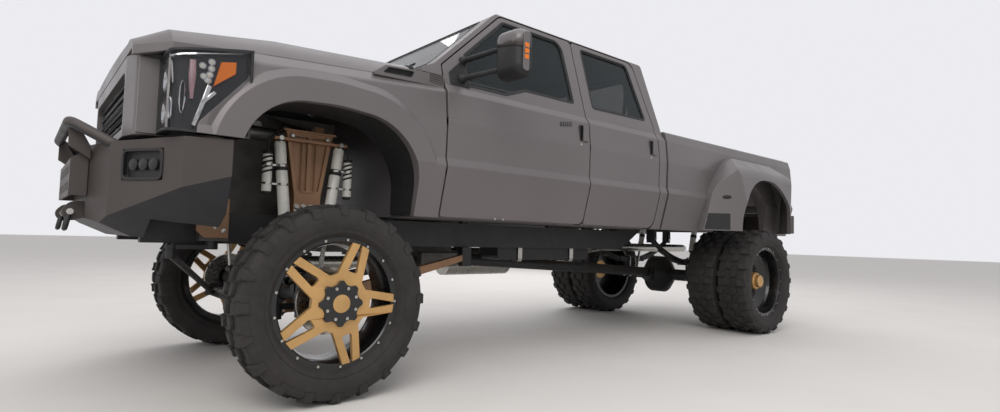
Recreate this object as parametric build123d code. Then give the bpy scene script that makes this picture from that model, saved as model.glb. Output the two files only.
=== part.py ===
from build123d import *
import math
import os

# Lifted crew-cab pickup truck with twin rear wheels, in millimetres.
# X runs to the truck's left side, Z is up, and pieces are modelled with Y = 0 at the front axle,
# Y growing rearward. They are moved along Y when written, so that the origin is mid length.
# The cab and the bed's front keep their place from the front axle, and what the rear axle
# carries follows the wheelbase.

# Main stations and heights
WHEELBASE = 4379
FRONT_OVERHANG = 1140
REAR_OVERHANG = 1281
FRONT_REACH = -FRONT_OVERHANG
REAR_REACH = WHEELBASE + REAR_OVERHANG
CENTRE_SHIFT = -(FRONT_REACH + REAR_REACH) / 2

# Tyres and wheels
TYRE_RADIUS = 508
TYRE_WIDTH = 300
SIDEWALL_R = 404
SHOULDER_R = 478
SHOULDER_IN = 16
LUG_COUNT = 20
TREAD_GROOVE = 24
LUG_HEIGHT = 26
LUG_TIP_SHARE = 0.27
TWIN_SPACING = 25
RIM_BORE = 300
RIM_SEAT = 330
RIM_LIP = 342
LIP_INSET = 42
SPOKE_PAIRS = 5
SPOKE_TURN = 21
SPOKE_T = 30
SPOKE_HUB_R = 125
SPOKE_TIP_R = 303
STAR_TIPS = 8
STAR_R = 117
HUB_CAP_R = 44
ROTOR_R = 190
ROTOR_T = 26
FRONT_TYRE_OUTER = 1085
REAR_TYRE_OUTER = 1262
REAR_HUB_X = 700
REAR_HUB_R = 110

# Body side, as half widths and heights
SILL_Z = 977
SILL_X = 941
CREASE_Z = 1290
CREASE_X = 1020
LEDGE_Z = 1338
LEDGE_X = 1003
UPPER_Z = 1560
UPPER_X = 1008
BELT_Z = 1746
BELT_X = 990
SHOULDER_Z = 1795
SHOULDER_X = 955
DRIP_Z = 2450
DRIP_X = 765
CROWN_Z = DRIP_Z + 24

# Cab and doors
COWL_S = 520
COWL_Z = 1880
SCREEN_BASE_S = 610
SCREEN_BASE_Z = 1921
SCREEN_TOP_S = 1230
SCREEN_TOP_Z = DRIP_Z + 12
PILLAR_DROP = 50
WINDOW_DROP = 96
CAB_REAR_S = 2975
ROOF_REAR_S = CAB_REAR_S - 75
FLOOR_T = 40
FLOOR_HALF_W = 872
DOOR_INNER_X = 900
FRAME_T = 28
CAB_WALL_T = 60
SEAM = 12
SEAM_FRONT_S = 668
SEAM_MID_S = 1974
SEAM_REAR_S = CAB_REAR_S - 105
DOOR_BOTTOM_Z = SILL_Z + 6
DOOR_TOP_Z = DRIP_Z - 26
WINDOW_TOP_Z = DOOR_TOP_Z - 30
WINDOW_LOW_Z = 1886
WINDOW_DIP = 68
PRISM_IN_X = 600
PRISM_OUT_X = 1100
GLASS_T = 6
HANDLE_S = 1860
HANDLE_PITCH = 880
HANDLE_LOW_Z = 1600
HANDLE_TOP_Z = 1718
HANDLE_W = 56
GRIP_W = 28
GRIP_DEPTH = 30
HINGE_X = 995
HINGE_BACK = 60
HINGE_BARREL_R = 8
HINGE_HALF_H = 24
HINGE_HEIGHTS = (1262, 1560)
HINGE_POST_X = 856
SEAT_FRONT_S = 1280
BENCH_FRONT_S = 2130
SEAT_LOW_Z = 1192
WHEEL_PLACE = (430, 1010, 1650)
WHEEL_TILT = 28
WHEEL_RIM_R = 190
WHEEL_GRIP_R = 16
MIRROR_X0 = 1245
MIRROR_X1 = 1450
MIRROR_LOW_Z = 1785
MIRROR_TOP_Z = 2090
FIT = 0.3

# Arches, hood and nose
FENDER_T = 36
ARCH_HALF = 505
ARCH_TOP_Z = 1534
ARCH_BAND = 120
ARCH_BAND_FOOT = 165
HOOD_EDGE_X = 925
HOOD_REAR_S = 505
HOOD_HINGE_S = 500
HOOD_HINGE_Z = 1880
HOOD_HINGE_X = 605
FENDER_TOP_FRONT = 1709
FENDER_TOP_REAR = 1804
HOOD_T = 36
NOSE_S = -925
NOSE_LOW_Z = 1292
NOSE_TOP_Z = 1676
NOSE_HALF_W = 770
LAMP_FRONT_S = -858
LAMP_RIM = 14
LAMP_DEPTH = 36
GRILLE_HALF_W = 600
GRILLE_LOW_Z = 1330
GRILLE_TOP_Z = 1640
GRILLE_FRONT_S = NOSE_S + 30
GRILLE_T = 25
GRILLE_RIM = 36
SLAT_COUNT = 5
SLAT_T = 20

# Front bumper and bull bar
BUMPER_HALF_W = 1000
BUMPER_FRONT_S = -1030
BUMPER_BACK_S = -800
BUMPER_TOP_Z = 1286
BUMPER_LOW_Z = 820
WING_REAR_S = -530
LUG_X = 300
LUG_T = 30
LUG_S = -1085
LUG_Z = 935
LUG_HOLE_R = 13.5
HOOP_R = 25
HOOP_TOP_Z = 1362
PLATE_HALF_W = 400
PLATE_T = 10
PLATE_LOW_Z = 1012
PLATE_TOP_Z = 1192
PLATE_FRONT_S = -1100
HOLE_SIZE = 44
HOLE_COLUMNS = 8

# Bed and twin-wheel fenders
BED_FRONT_S = CAB_REAR_S + 28
BED_REAR_S = WHEELBASE + 1101
BED_RAIL_Z = 1830
BED_FLOOR_Z = 1322
BED_FLOOR_T = 34
BED_INNER_X = 880
BED_WALL_T = 45
WHEELHOUSE_X = 647
WHEELHOUSE_HALF = 480
WHEELHOUSE_TOP_Z = 1560
TAILGATE_HALF_W = 768
TAILGATE_T = 58
TAILGATE_CLEAR = 6
TAILGATE_LEAN = 10
TAILGATE_HINGE_S = BED_REAR_S - 36
TAILGATE_HINGE_Z = BED_FLOOR_Z + 23
REAR_ARCH_R = 517
REAR_ARCH_Z = 985
FLARE_X = 1262
FLARE_T = 30
FLARE_HALF = 800
FLARE_TOP_Z = 1712

# Frame and axles
RAIL_X = 415
RAIL_W = 70
RAIL_OUT_X = RAIL_X + RAIL_W / 2
RAIL_IN_X = RAIL_X - RAIL_W / 2
RAIL_LOW_Z = 790
RAIL_TOP_Z = 962
RAIL_FRONT_S = BUMPER_BACK_S
RAIL_REAR_S = BED_REAR_S + 20
KICK_RISE = 250
KICK_FRONT_S = CAB_REAR_S + 45
KICK_REAR_S = KICK_FRONT_S + 400
AXLE_Z = TYRE_RADIUS
AXLE_R = 48
FRONT_DIFF_X = 180
FRONT_DIFF_R = 150
REAR_DIFF_R = 200
KING_X = 700
STEER_ARM = 190
STEER_ARM_Z = AXLE_Z - 60
YOKE_T = 30
YOKE_HALF_H = 95
HUB_FACE_X = 870
SPRING_X = 530
SPRING_R = 58
SPRING_TURNS = 6
SPRING_LOW_Z = AXLE_Z + 92
SPRING_TOP_Z = 965
SHOCK_X = 570
SHOCK_R = 32
SHOCK_ROD_R = 14
RESERVOIR_R = 26
RESERVOIR_H = 240
TOWER_TOP_Z = 1440
TOWER_HALF = 138
TOWER_WAIST_Z = 1075
ARM_X = 470
ARM_W = 50
ARM_END_S = 1190
ARM_END_Z = AXLE_Z + 204
PITMAN_X = 500
PITMAN_S = -480
PITMAN_Z = 760
GEARBOX_LOW_Z = 740
GEARBOX_MEMBER_S = 740
LEAF_FRONT_S = WHEELBASE - 759
LEAF_REAR_S = WHEELBASE + 761
LEAF_EYE_Z = 900
LEAF_LOW_Z = AXLE_Z + 112
LEAF_T = 18
LEAF_COUNT = 3
LEAF_STEP = 150
PIPE_R = 45
PIPE_X = -290
PIPE_Z = 650
CUT = 4000


def box(x0, x1, s0, s1, z0, z1):
    """Block between two corners."""
    return Pos((x0 + x1) / 2, (s0 + s1) / 2, (z0 + z1) / 2) * Box(abs(x1 - x0), abs(s1 - s0), abs(z1 - z0))


def outline(rows):
    """Closed face from rows of (u, v, corner radius)."""
    corners = [(u, v) for u, v, radius in rows]
    radii = [radius for u, v, radius in rows]
    return make_face(FilletPolyline(*corners, radius=radii, close=True))


def across(rows, x0, x1):
    """Side-view outline of (station, height, radius), extruded from x0 to x1."""
    return Pos(x0, 0, 0) * extrude(Plane.YZ * outline(rows), x1 - x0)


def along(rows, s0, s1):
    """Cross-section of (x, height, radius), extruded from station s0 to s1."""
    return Pos(0, s1, 0) * extrude(Plane.XZ * outline(rows), s1 - s0)


def upward(rows, z0, z1):
    """Plan outline of (x, station, radius), extruded from height z0 to z1."""
    return Pos(0, 0, z0) * extrude(outline(rows), z1 - z0)


def two_sided(rows):
    """Left half of a section or plan, with its right half added."""
    return rows + [(-x, v, radius) for x, v, radius in reversed(rows)]


def mirrored(solid):
    """The same piece on the truck's right side."""
    return mirror(solid, Plane.YZ)


def both(solid):
    """A left piece and its right twin."""
    return [solid, mirrored(solid)]


def bar(a, b, radius):
    """Round bar from point a to point b."""
    a, b = Vector(*a), Vector(*b)
    return extrude(Plane(origin=a, z_dir=b - a) * Circle(radius), (b - a).length)


def disc(x0, x1, s, z, radius, bore=0):
    """Round disc about an axis across the truck, from x0 to x1."""
    face = Circle(radius) - Circle(bore) if bore else Circle(radius)
    return Pos(x0, s, z) * extrude(Plane.YZ * face, x1 - x0)


def post(x, s, z0, z1, radius):
    """Upright cylinder."""
    return Pos(x, s, z0) * extrude(Circle(radius), z1 - z0)


def turned(rows):
    """Piece turned about the X axis from rows of (x, radius)."""
    return revolve(outline([(x, r, 0) for x, r in rows]), Axis.X)


def trimmed_below(solid, a, b, c):
    """The solid without what lies under the plane through three points."""
    a, b, c = Vector(*a), Vector(*b), Vector(*c)
    normal = (b - a).cross(c - a)
    if normal.Z < 0:
        normal = normal * -1
    return solid - Plane(origin=a, z_dir=normal) * (Pos(0, 0, -CUT / 2) * Box(CUT, CUT, CUT))


def side_rows(inset=0, low=SILL_Z):
    """Left body side in section, from the sill up to the belt."""
    return [
        (SILL_X - inset, low, 0),
        (CREASE_X - inset, CREASE_Z, 25),
        (LEDGE_X - inset, LEDGE_Z, 0),
        (UPPER_X - inset, UPPER_Z, 200),
        (BELT_X - inset, BELT_Z, 20),
    ]


def body_section(inset=0, low=SILL_Z):
    """Whole cab cross-section, all sides moved in by inset."""
    left = side_rows(inset, low) + [
        (SHOULDER_X - inset, SHOULDER_Z, 0),
        (DRIP_X - inset, DRIP_Z - inset * 0.6, 30),
    ]
    crown = [(0, CROWN_Z + 20 - inset * 0.6, 2500)]
    right = [(-x, z, radius) for x, z, radius in reversed(left)]
    return left + crown + right


def cab_side(inset=0, low=SILL_Z):
    """Side outline of the cab, moved in by inset."""
    lean = inset * 1.3
    return [
        (COWL_S + inset, low, 0),
        (COWL_S + inset, COWL_Z - inset, 0),
        (SCREEN_BASE_S + lean, SCREEN_BASE_Z - inset * 0.3, 0),
        (SCREEN_TOP_S + lean, SCREEN_TOP_Z - inset * 0.6, 240),
        (1700, CROWN_Z + 30 - inset * 0.6, 2000),
        (ROOF_REAR_S - inset, DRIP_Z + 10 - inset * 0.6, 60),
        (CAB_REAR_S - inset, SHOULDER_Z, 60),
        (CAB_REAR_S - inset, low, 0),
    ]


def below_screen(drop, height=None, station=None):
    """Point on the line under the windscreen's plane by a drop, at a height or a station."""
    slope = (SCREEN_TOP_Z - SCREEN_BASE_Z) / (SCREEN_TOP_S - SCREEN_BASE_S)
    if height is None:
        height = SCREEN_BASE_Z - drop + slope * (station - SCREEN_BASE_S)
    return SCREEN_BASE_S + (height + drop - SCREEN_BASE_Z) / slope, height


def door_rows(grow=0):
    """Side outlines of the front and rear door, grown by a clearance."""
    half = SEAM / 2
    front_s = SEAM_FRONT_S + half - grow
    mid_front = SEAM_MID_S - half + grow
    mid_rear = SEAM_MID_S + half - grow
    rear_s = SEAM_REAR_S - half + grow
    low, top = DOOR_BOTTOM_Z - grow, DOOR_TOP_Z + grow
    front = [
        (front_s, low, 20), (*below_screen(PILLAR_DROP - grow, station=front_s), 30),
        (*below_screen(PILLAR_DROP - grow, height=top), 90), (mid_front, top, 30), (mid_front, low, 50),
    ]
    rear = [
        (mid_rear, low, 20), (mid_rear, top, 30), (SEAM_REAR_S - 110 + grow, top, 90),
        (rear_s, 1860, 60), (rear_s, low, 80),
    ]
    return front, rear


def window_rows():
    """Openings of the side windows, front and rear door."""
    front = [
        (SEAM_FRONT_S + 190, WINDOW_LOW_Z - WINDOW_DIP, 20),
        (*below_screen(WINDOW_DROP, station=SEAM_FRONT_S + 190), 20),
        (*below_screen(WINDOW_DROP, height=WINDOW_TOP_Z), 60),
        (SEAM_MID_S - 114, WINDOW_TOP_Z, 90),
        (SEAM_MID_S - 102, WINDOW_LOW_Z, 30),
        (1370, WINDOW_LOW_Z, 50),
        (1180, WINDOW_LOW_Z - WINDOW_DIP, 50),
    ]
    rear = [
        (SEAM_MID_S + 104, WINDOW_LOW_Z, 30),
        (SEAM_MID_S + 104, WINDOW_TOP_Z, 30),
        (SEAM_REAR_S - 190, WINDOW_TOP_Z, 60),
        (SEAM_REAR_S - 95, WINDOW_LOW_Z + 10, 30),
    ]
    return front, rear


def side_layer(outer, inner):
    """Skin of the cab side between two insets, for doors and glass."""
    length = (COWL_S, CAB_REAR_S + 100)
    return along(body_section(outer), *length) - along(body_section(inner), *length)


def door_solid(rows, window, front_s, handle_s):
    """One left door: a deep lower panel, a slim window frame, hinge pockets and its handle."""
    split_z = SHOULDER_Z - 25
    prism = across(rows, PRISM_IN_X, PRISM_OUT_X)
    deep = box(DOOR_INNER_X, PRISM_OUT_X, COWL_S, CAB_REAR_S, DOOR_BOTTOM_Z - 1, split_z)
    slim = box(PRISM_IN_X, PRISM_OUT_X, COWL_S, CAB_REAR_S, split_z, CROWN_Z)
    lower = along(body_section(), COWL_S, CAB_REAR_S) & deep
    panel = prism & (lower + (side_layer(0, FRAME_T) & slim))
    panel -= across(window, PRISM_IN_X, PRISM_OUT_X)
    for z in HINGE_HEIGHTS:
        panel -= box(
            DOOR_INNER_X - 50, HINGE_X + HINGE_BARREL_R + 1, front_s - 20, front_s + HINGE_BACK + 16,
            z - HINGE_HALF_H - FIT, z + HINGE_HALF_H + FIT,
        )
    grip_x = UPPER_X - GRIP_DEPTH
    panel -= box(grip_x, PRISM_OUT_X, handle_s, handle_s + GRIP_W, HANDLE_LOW_Z, HANDLE_TOP_Z)
    paddle_s = handle_s + GRIP_W
    return panel + box(grip_x, UPPER_X + 7, paddle_s, paddle_s + HANDLE_W, HANDLE_LOW_Z, HANDLE_TOP_Z)


def door_glass(window):
    """Pane that fills a door's window opening."""
    mid = FRAME_T / 2
    return across(window, PRISM_IN_X, PRISM_OUT_X) & side_layer(mid - GLASS_T / 2, mid + GLASS_T / 2)


def door_hinges():
    """Straps from the door posts to the hinge barrels, two for each door."""
    straps = []
    for front_s in (SEAM_FRONT_S + SEAM / 2, SEAM_MID_S + SEAM / 2):
        pin_s = front_s + HINGE_BACK
        for z in HINGE_HEIGHTS:
            z0, z1 = z - HINGE_HALF_H, z + HINGE_HALF_H
            strap = box(HINGE_POST_X, HINGE_X, pin_s - 6, pin_s + 6, z0, z1)
            straps += both(strap + post(HINGE_X, pin_s, z0, z1, HINGE_BARREL_R))
    return straps


def cab_shell():
    """Floor, pillars, roof and back wall of the cab, with door and glass openings."""
    floor_z = SILL_Z + FLOOR_T
    outer = along(body_section(), COWL_S, CAB_REAR_S + 50) & across(cab_side(), -PRISM_OUT_X, PRISM_OUT_X)
    hollow = along(body_section(CAB_WALL_T, floor_z), COWL_S, CAB_REAR_S + 50)
    hollow &= across(cab_side(CAB_WALL_T, floor_z), -PRISM_OUT_X, PRISM_OUT_X)
    shell = outer - hollow
    for rows in door_rows(SEAM):
        for opening in both(across(rows, PRISM_IN_X, PRISM_OUT_X)):
            shell -= opening
    for side in both(box(DOOR_INNER_X, PRISM_OUT_X, COWL_S - 1, SEAM_FRONT_S + SEAM, SILL_Z - 1, 1850)):
        shell -= side
    shell -= screen_prism()
    shell -= rear_window_prism()
    shell += box(-FLOOR_HALF_W, FLOOR_HALF_W, COWL_S, CAB_REAR_S, SILL_Z, floor_z)
    for s0, s1 in ((SEAM_FRONT_S - 60, SEAM_FRONT_S + 90), (SEAM_MID_S - 50, SEAM_MID_S + 82)):
        for pillar in both(box(HINGE_POST_X - 56, HINGE_POST_X, s0, s1, SILL_Z + 5, SHOULDER_Z)):
            shell += pillar
    for panel in both(box(HINGE_POST_X - 6, DOOR_INNER_X, COWL_S, SEAM_FRONT_S - SEAM / 2, SILL_Z, 1850)):
        shell += panel
    mid_post = box(PRISM_IN_X, 1000, SEAM_MID_S - 50, SEAM_MID_S + 82, SHOULDER_Z - 5, DRIP_Z - 5)
    for pillar in both(side_layer(58, 100) & mid_post):
        shell += pillar
    return shell


def screen_prism():
    """Opening for the windscreen."""
    rows = two_sided([(800, SCREEN_BASE_Z + 30, 60), (655, DRIP_Z - 40, 60)])
    return along(rows, COWL_S - 120, SCREEN_TOP_S + 205)


def rear_window_prism():
    """Opening for the cab's rear window."""
    rows = two_sided([(690, SHOULDER_Z + 65, 60), (600, DRIP_Z - 105, 60)])
    return along(rows, ROOF_REAR_S - 100, CAB_REAR_S + 125)


def slab_between(a, b, depth, thickness):
    """Plate across the cab whose face runs from a to b in side view, set in by depth."""
    a, b = Vector(*a), Vector(*b)
    run = (b - a).normalized()
    inward = Vector(run.Y, -run.X)
    corners = [a + inward * depth, b + inward * depth]
    corners += [b + inward * (depth + thickness), a + inward * (depth + thickness)]
    return across([(p.X, p.Y, 0) for p in corners], -PRISM_OUT_X, PRISM_OUT_X)


def cab_glass():
    """Windscreen and rear window."""
    front = slab_between((SCREEN_BASE_S, SCREEN_BASE_Z), (SCREEN_TOP_S, SCREEN_TOP_Z), 6, GLASS_T)
    rear = slab_between((CAB_REAR_S, SHOULDER_Z), (ROOF_REAR_S, DRIP_Z + 10), -20 - GLASS_T, GLASS_T)
    return [front & screen_prism(), rear & rear_window_prism()]


def seat(x0, x1, s, headrests):
    """One seat or bench on its base, with a headrest at each given x."""
    low = SEAT_LOW_Z
    base = box(x0 + 40, x1 - 40, s + 60, s + 470, SILL_Z + FLOOR_T, low)
    cushion = across([(s, low, 0), (s, low + 140, 50), (s + 480, low + 120, 0), (s + 500, low, 0)], x0, x1)
    back = [
        (s + 500, low, 0), (s + 440, low + 150, 0), (s + 545, low + 680, 40), (s + 640, low + 680, 40),
        (s + 610, low, 0),
    ]
    piece = base + cushion + across(back, x0 + 10, x1 - 10)
    head = [(s + 555, low + 705, 0), (s + 550, low + 850, 30), (s + 640, low + 850, 30), (s + 650, low + 705, 0)]
    for x in headrests:
        piece += across(head, x - 130, x + 130)
        for post_x in (x - 60, x + 60):
            piece += box(post_x - 7, post_x + 7, s + 593, s + 607, low + 660, low + 715)
    return piece


def seats():
    """Two front seats and a rear bench."""
    driver = seat(170, 690, SEAT_FRONT_S, [430])
    return both(driver) + [seat(-690, 690, BENCH_FRONT_S, [-430, 430])]


def dashboard():
    """Dash panel with its hood over the instruments and a centre stack."""
    back_s = COWL_S + CAB_WALL_T
    floor_z = SILL_Z + FLOOR_T
    dash = across([
        (back_s, 1500, 0), (back_s, 1790, 0), (700, 1845, 50),
        (860, 1790, 60), (880, 1640, 0), (780, 1500, 0),
    ], -780, 780)
    stack = across([
        (600, floor_z, 0), (600, 1600, 0), (850, 1600, 0),
        (900, 1300, 60), (1150, 1200, 0), (1150, floor_z, 0),
    ], -150, 150)
    return dash + stack + steering_column()


def steering_plane():
    """Plane of the steering wheel, its axis tipped towards the driver."""
    tilt = math.radians(WHEEL_TILT)
    return Plane(origin=WHEEL_PLACE, z_dir=(0, math.cos(tilt), math.sin(tilt)), x_dir=(1, 0, 0))


def steering_wheel():
    """Rim, hub and four spokes, facing the driver."""
    grip = Plane.XZ * (Pos(WHEEL_RIM_R, 0) * RegularPolygon(WHEEL_GRIP_R, 6))
    wheel = revolve(grip, Axis.Z) + Cylinder(55, 50)
    for angle in (20, 160, 250, 290):
        wheel += Rot(0, 0, angle) * (Pos(115, 0, 0) * Box(150, 34, 16))
    return steering_plane() * wheel


def steering_column():
    """Column housing from the dash to the steering wheel's back."""
    return steering_plane() * (Pos(0, 0, -100 - FIT) * Cylinder(38, 150))


def fender_rows():
    """Side outline of a front fender, without its wheel arch."""
    rear_s = SEAM_FRONT_S - SEAM / 2
    return [
        (-489, 1850, 0), (-470, 1600, 60), (-685, 1345, 60),
        (-692, 1296, 0), (-300, 1296, 0), (-300, SILL_Z, 0),
        (rear_s, SILL_Z, 0), (rear_s, 1850, 0),
    ]


def front_arch_rows(grow=0, low=900):
    """Front wheel arch opening, grown outward for the band and the liner."""
    front_s, rear_s = -ARCH_HALF - grow, ARCH_HALF - 14 + grow
    return [
        (front_s, low, 0),
        (front_s, ARCH_TOP_Z - 26 + grow, ARCH_HALF * 0.65 + grow),
        (-20, ARCH_TOP_Z + grow, 900),
        (rear_s, ARCH_TOP_Z - 54 + grow, ARCH_HALF * 0.75 + grow),
        (rear_s, low, 0),
    ]


def fender_section(top_z):
    """Wall section of the left front fender, whose upper edge is at top_z."""
    low = SILL_Z - 10
    outside = [
        (SILL_X, low, 0), (CREASE_X, CREASE_Z, 25), (LEDGE_X, LEDGE_Z, 0), (UPPER_X, UPPER_Z - 40, 100),
        (BELT_X - 5, top_z - 60, 40), (HOOD_EDGE_X, top_z, 0),
    ]
    inside = [
        (HOOD_EDGE_X, top_z - 45, 0), (BELT_X - 5 - FENDER_T, top_z - 90, 20),
        (UPPER_X - FENDER_T, UPPER_Z - 60, 100),
        (LEDGE_X - FENDER_T, LEDGE_Z, 0), (SILL_X - FENDER_T, low, 0),
    ]
    return outside + inside


def section_face(rows, s):
    """Cross-section face at one station."""
    return Plane(origin=(0, s, 0), x_dir=(1, 0, 0), z_dir=(0, -1, 0)) * outline(rows)


def arch_band():
    """Raised band round the front arch, sloping back to the fender and ending at the crease."""
    foot = Plane.YZ * outline(front_arch_rows(ARCH_BAND_FOOT))
    face = Plane.YZ * outline(front_arch_rows(ARCH_BAND))
    foot_x = LEDGE_X - 12
    band = loft([Pos(foot_x, 0, 0) * foot, Pos(CREASE_X, 0, 0) * face], ruled=True)
    return band & box(foot_x, CREASE_X, -CUT, CUT, CREASE_Z, CUT)


def side_vent():
    """Raised vent panel on the fender's top behind the hood's edge, with a slot in its front half."""
    rows = [
        (195, 1776, 0), (263, 1826, 20), (632, 1846, 0), (SEAM_FRONT_S - SEAM / 2, 1846, 0),
        (SEAM_FRONT_S - SEAM / 2, 1770, 0), (195, 1760, 0),
    ]
    slot = [(250, 1785, 0), (285, 1815, 0), (450, 1824, 0), (430, 1793, 0)]
    panel = across(rows, HOOD_EDGE_X, SHOULDER_X + 3)
    return panel - across(slot, SHOULDER_X - 12, SHOULDER_X + 10)


def front_fender():
    """Left front fender: side skin, arch, raised band, vent panel and the bracket to the cab."""
    front = section_face(fender_section(FENDER_TOP_FRONT), LAMP_FRONT_S)
    rear = section_face(fender_section(FENDER_TOP_REAR), SEAM_FRONT_S)
    skin = loft([front, rear], ruled=True)
    fender = (skin + arch_band() + side_vent()) & across(fender_rows(), 800, PRISM_OUT_X)
    fender -= across(front_arch_rows(), 800, PRISM_OUT_X)
    bracket = box(DOOR_INNER_X, SILL_X - 16, SEAM_FRONT_S - 110, SEAM_FRONT_S - 40, 1010, 1050)
    return fender + bracket


def grille_rows(inset=0):
    """Outline of the grille opening, moved in by inset."""
    half, low, top = GRILLE_HALF_W - inset, GRILLE_LOW_Z + inset, GRILLE_TOP_Z - 30 - inset
    return two_sided([(half, low, 40), (half, top, 60)])


def nose_panel():
    """Body-colour surround between the headlamps, with the grille opening."""
    plan = two_sided([(NOSE_HALF_W, -600, 0), (NOSE_HALF_W, NOSE_S + 30, 40), (620, NOSE_S, 60)])
    inner = two_sided([(NOSE_HALF_W - 55, -500, 0), (NOSE_HALF_W - 55, -800, 0), (600, -850, 0)])
    panel = upward(plan, NOSE_LOW_Z, NOSE_TOP_Z) - upward(inner, NOSE_LOW_Z - 10, NOSE_TOP_Z + 10)
    return panel - along(grille_rows(), -1000, -700)


def grille():
    """Dark grille set back in its surround: rim, slats and uprights."""
    front_s, back_s = GRILLE_FRONT_S, GRILLE_FRONT_S + GRILLE_T
    piece = along(grille_rows(), front_s, back_s) - along(grille_rows(GRILLE_RIM), front_s - 1, back_s + 1)
    low, top = GRILLE_LOW_Z + GRILLE_RIM / 2, GRILLE_TOP_Z - 30 - GRILLE_RIM / 2
    half = GRILLE_HALF_W - GRILLE_RIM / 2
    pitch = (top - low) / (SLAT_COUNT + 1)
    for i in range(SLAT_COUNT):
        z = low + pitch * (i + 1)
        piece += box(-half, half, front_s + 3, back_s - 3, z - SLAT_T / 2, z + SLAT_T / 2)
    for x in (-half / 2, 0, half / 2):
        piece += box(x - 7, x + 7, front_s + 8, back_s - 5, low, top)
    return piece


def headlamp():
    """Left headlamp between nose panel and fender: a rim round a recess with two round lamps."""
    low, top = NOSE_LOW_Z + 4, 1650
    side = [
        (LAMP_FRONT_S, low, 20), (LAMP_FRONT_S + 8, top, 30), (-497, 1722, 20), (-478, 1600, 60),
        (-693, 1345, 60), (-700, low, 0),
    ]
    plan = [
        (NOSE_HALF_W, -460, 0), (NOSE_HALF_W, -895, 0),
        (940, -885, 60), (1000, -790, 90), (UPPER_X, -460, 0),
    ]
    recess = [
        (LAMP_FRONT_S - 40, low + LAMP_RIM, 0),
        (LAMP_FRONT_S - 40, top - LAMP_RIM, 0), (-850, top - LAMP_RIM, 0),
        (-515, 1704, 0), (-495, 1606, 50), (-709, 1356, 60), (-716, low + LAMP_RIM, 0),
    ]
    core = [
        (NOSE_HALF_W, -400, 0), (NOSE_HALF_W, LAMP_FRONT_S + LAMP_DEPTH, 0),
        (925, LAMP_FRONT_S + LAMP_DEPTH, 0),
        (1000 - LAMP_DEPTH, -765, 0), (1000 - LAMP_DEPTH, -400, 0),
    ]
    body = across(side, 700, PRISM_OUT_X) & upward(plan, 1200, 1800)
    face = across(recess, NOSE_HALF_W + LAMP_RIM, PRISM_OUT_X) - upward(core, 1200, 1800)
    bowls = bar((850, -810, 1540), (862, -856, 1540), 54) + bar((925, -770, 1450), (975, -806, 1450), 46)
    return (body - face) + (bowls & body)


HOOD_STATIONS = (
    # station, edge height, edge half width, side height, top half width, top height, crown height
    (NOSE_S, 1690, 800, 1712, 620, 1738, 1756),
    (NOSE_S + 140, 1716, 900, 1765, 690, 1812, 1826),
    (-300, 1752, 915, 1815, 700, 1880, 1892),
    (HOOD_REAR_S, 1798, 915, 1850, 700, 1930, 1945),
)


def hood_face(row, drop):
    """Face of the hood at one row of the table, closed flat below."""
    s, edge_z, edge_x, side_z, top_x, top_z, crown_z = row
    base = edge_z - 2 * HOOD_T
    plane = Plane(origin=(0, s, 0), x_dir=(1, 0, 0), z_dir=(0, -1, 0))
    edge = (edge_x - drop, edge_z - drop)
    side = ((edge_x + top_x) / 2 + 40 - drop, side_z + 12 - drop)
    top = (top_x - drop, top_z - drop)
    lines = [ThreePointArc(top, (0, crown_z - drop), (-top[0], top[1]))]
    lines.append(ThreePointArc((-top[0], top[1]), (-side[0], side[1]), (-edge[0], edge[1])))
    lines += Polyline((-edge[0], edge[1]), (-edge[0], base), (edge[0], base), edge).edges()
    lines.append(ThreePointArc(edge, side, top))
    return plane * make_face(lines)


def hood():
    """Hood panel: a crowned shell with turned-down sides and its hinge lugs."""
    outer = loft([hood_face(row, 0) for row in HOOD_STATIONS], ruled=True)
    inner_rows = [list(row) for row in HOOD_STATIONS]
    inner_rows[0][0] += HOOD_T
    inner = loft([hood_face(row, HOOD_T) for row in inner_rows], ruled=True)
    over_lamps = [
        (-1100, 1300, 0), (-1100, 1648, 0), (NOSE_S, 1648, 0),
        (-850, 1662, 0), (-470, 1744, 0), (-470, 1300, 0),
    ]
    panel = outer - inner - across(over_lamps, -PRISM_OUT_X, PRISM_OUT_X)
    panel -= box(-NOSE_HALF_W - 5, NOSE_HALF_W + 5, -1100, -700, 1300, NOSE_TOP_Z + 8)
    for x in (-HOOD_HINGE_X, HOOD_HINGE_X):
        for x0, x1 in ((x - 35, x - 15 - FIT), (x + 15 + FIT, x + 35)):
            panel += box(x0, x1, HOOD_HINGE_S - 10, HOOD_HINGE_S + 5, HOOD_HINGE_Z - 12, HOOD_HINGE_Z + 30)
    return panel


def hood_hinges():
    """Cowl straps that carry the hood's hinge barrels."""
    straps = []
    for x in (-HOOD_HINGE_X, HOOD_HINGE_X):
        strap = box(x - 15, x + 15, HOOD_HINGE_S, COWL_S, HOOD_HINGE_Z - 10, HOOD_HINGE_Z)
        straps.append(strap + disc(x - 15, x + 15, HOOD_HINGE_S, HOOD_HINGE_Z, 10))
    return straps


# Corners of the bumper's left half, where its faces fold
WING_CORNER = (BUMPER_HALF_W, -735, 1048)
WING_START = (610, -965, 915)


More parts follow.
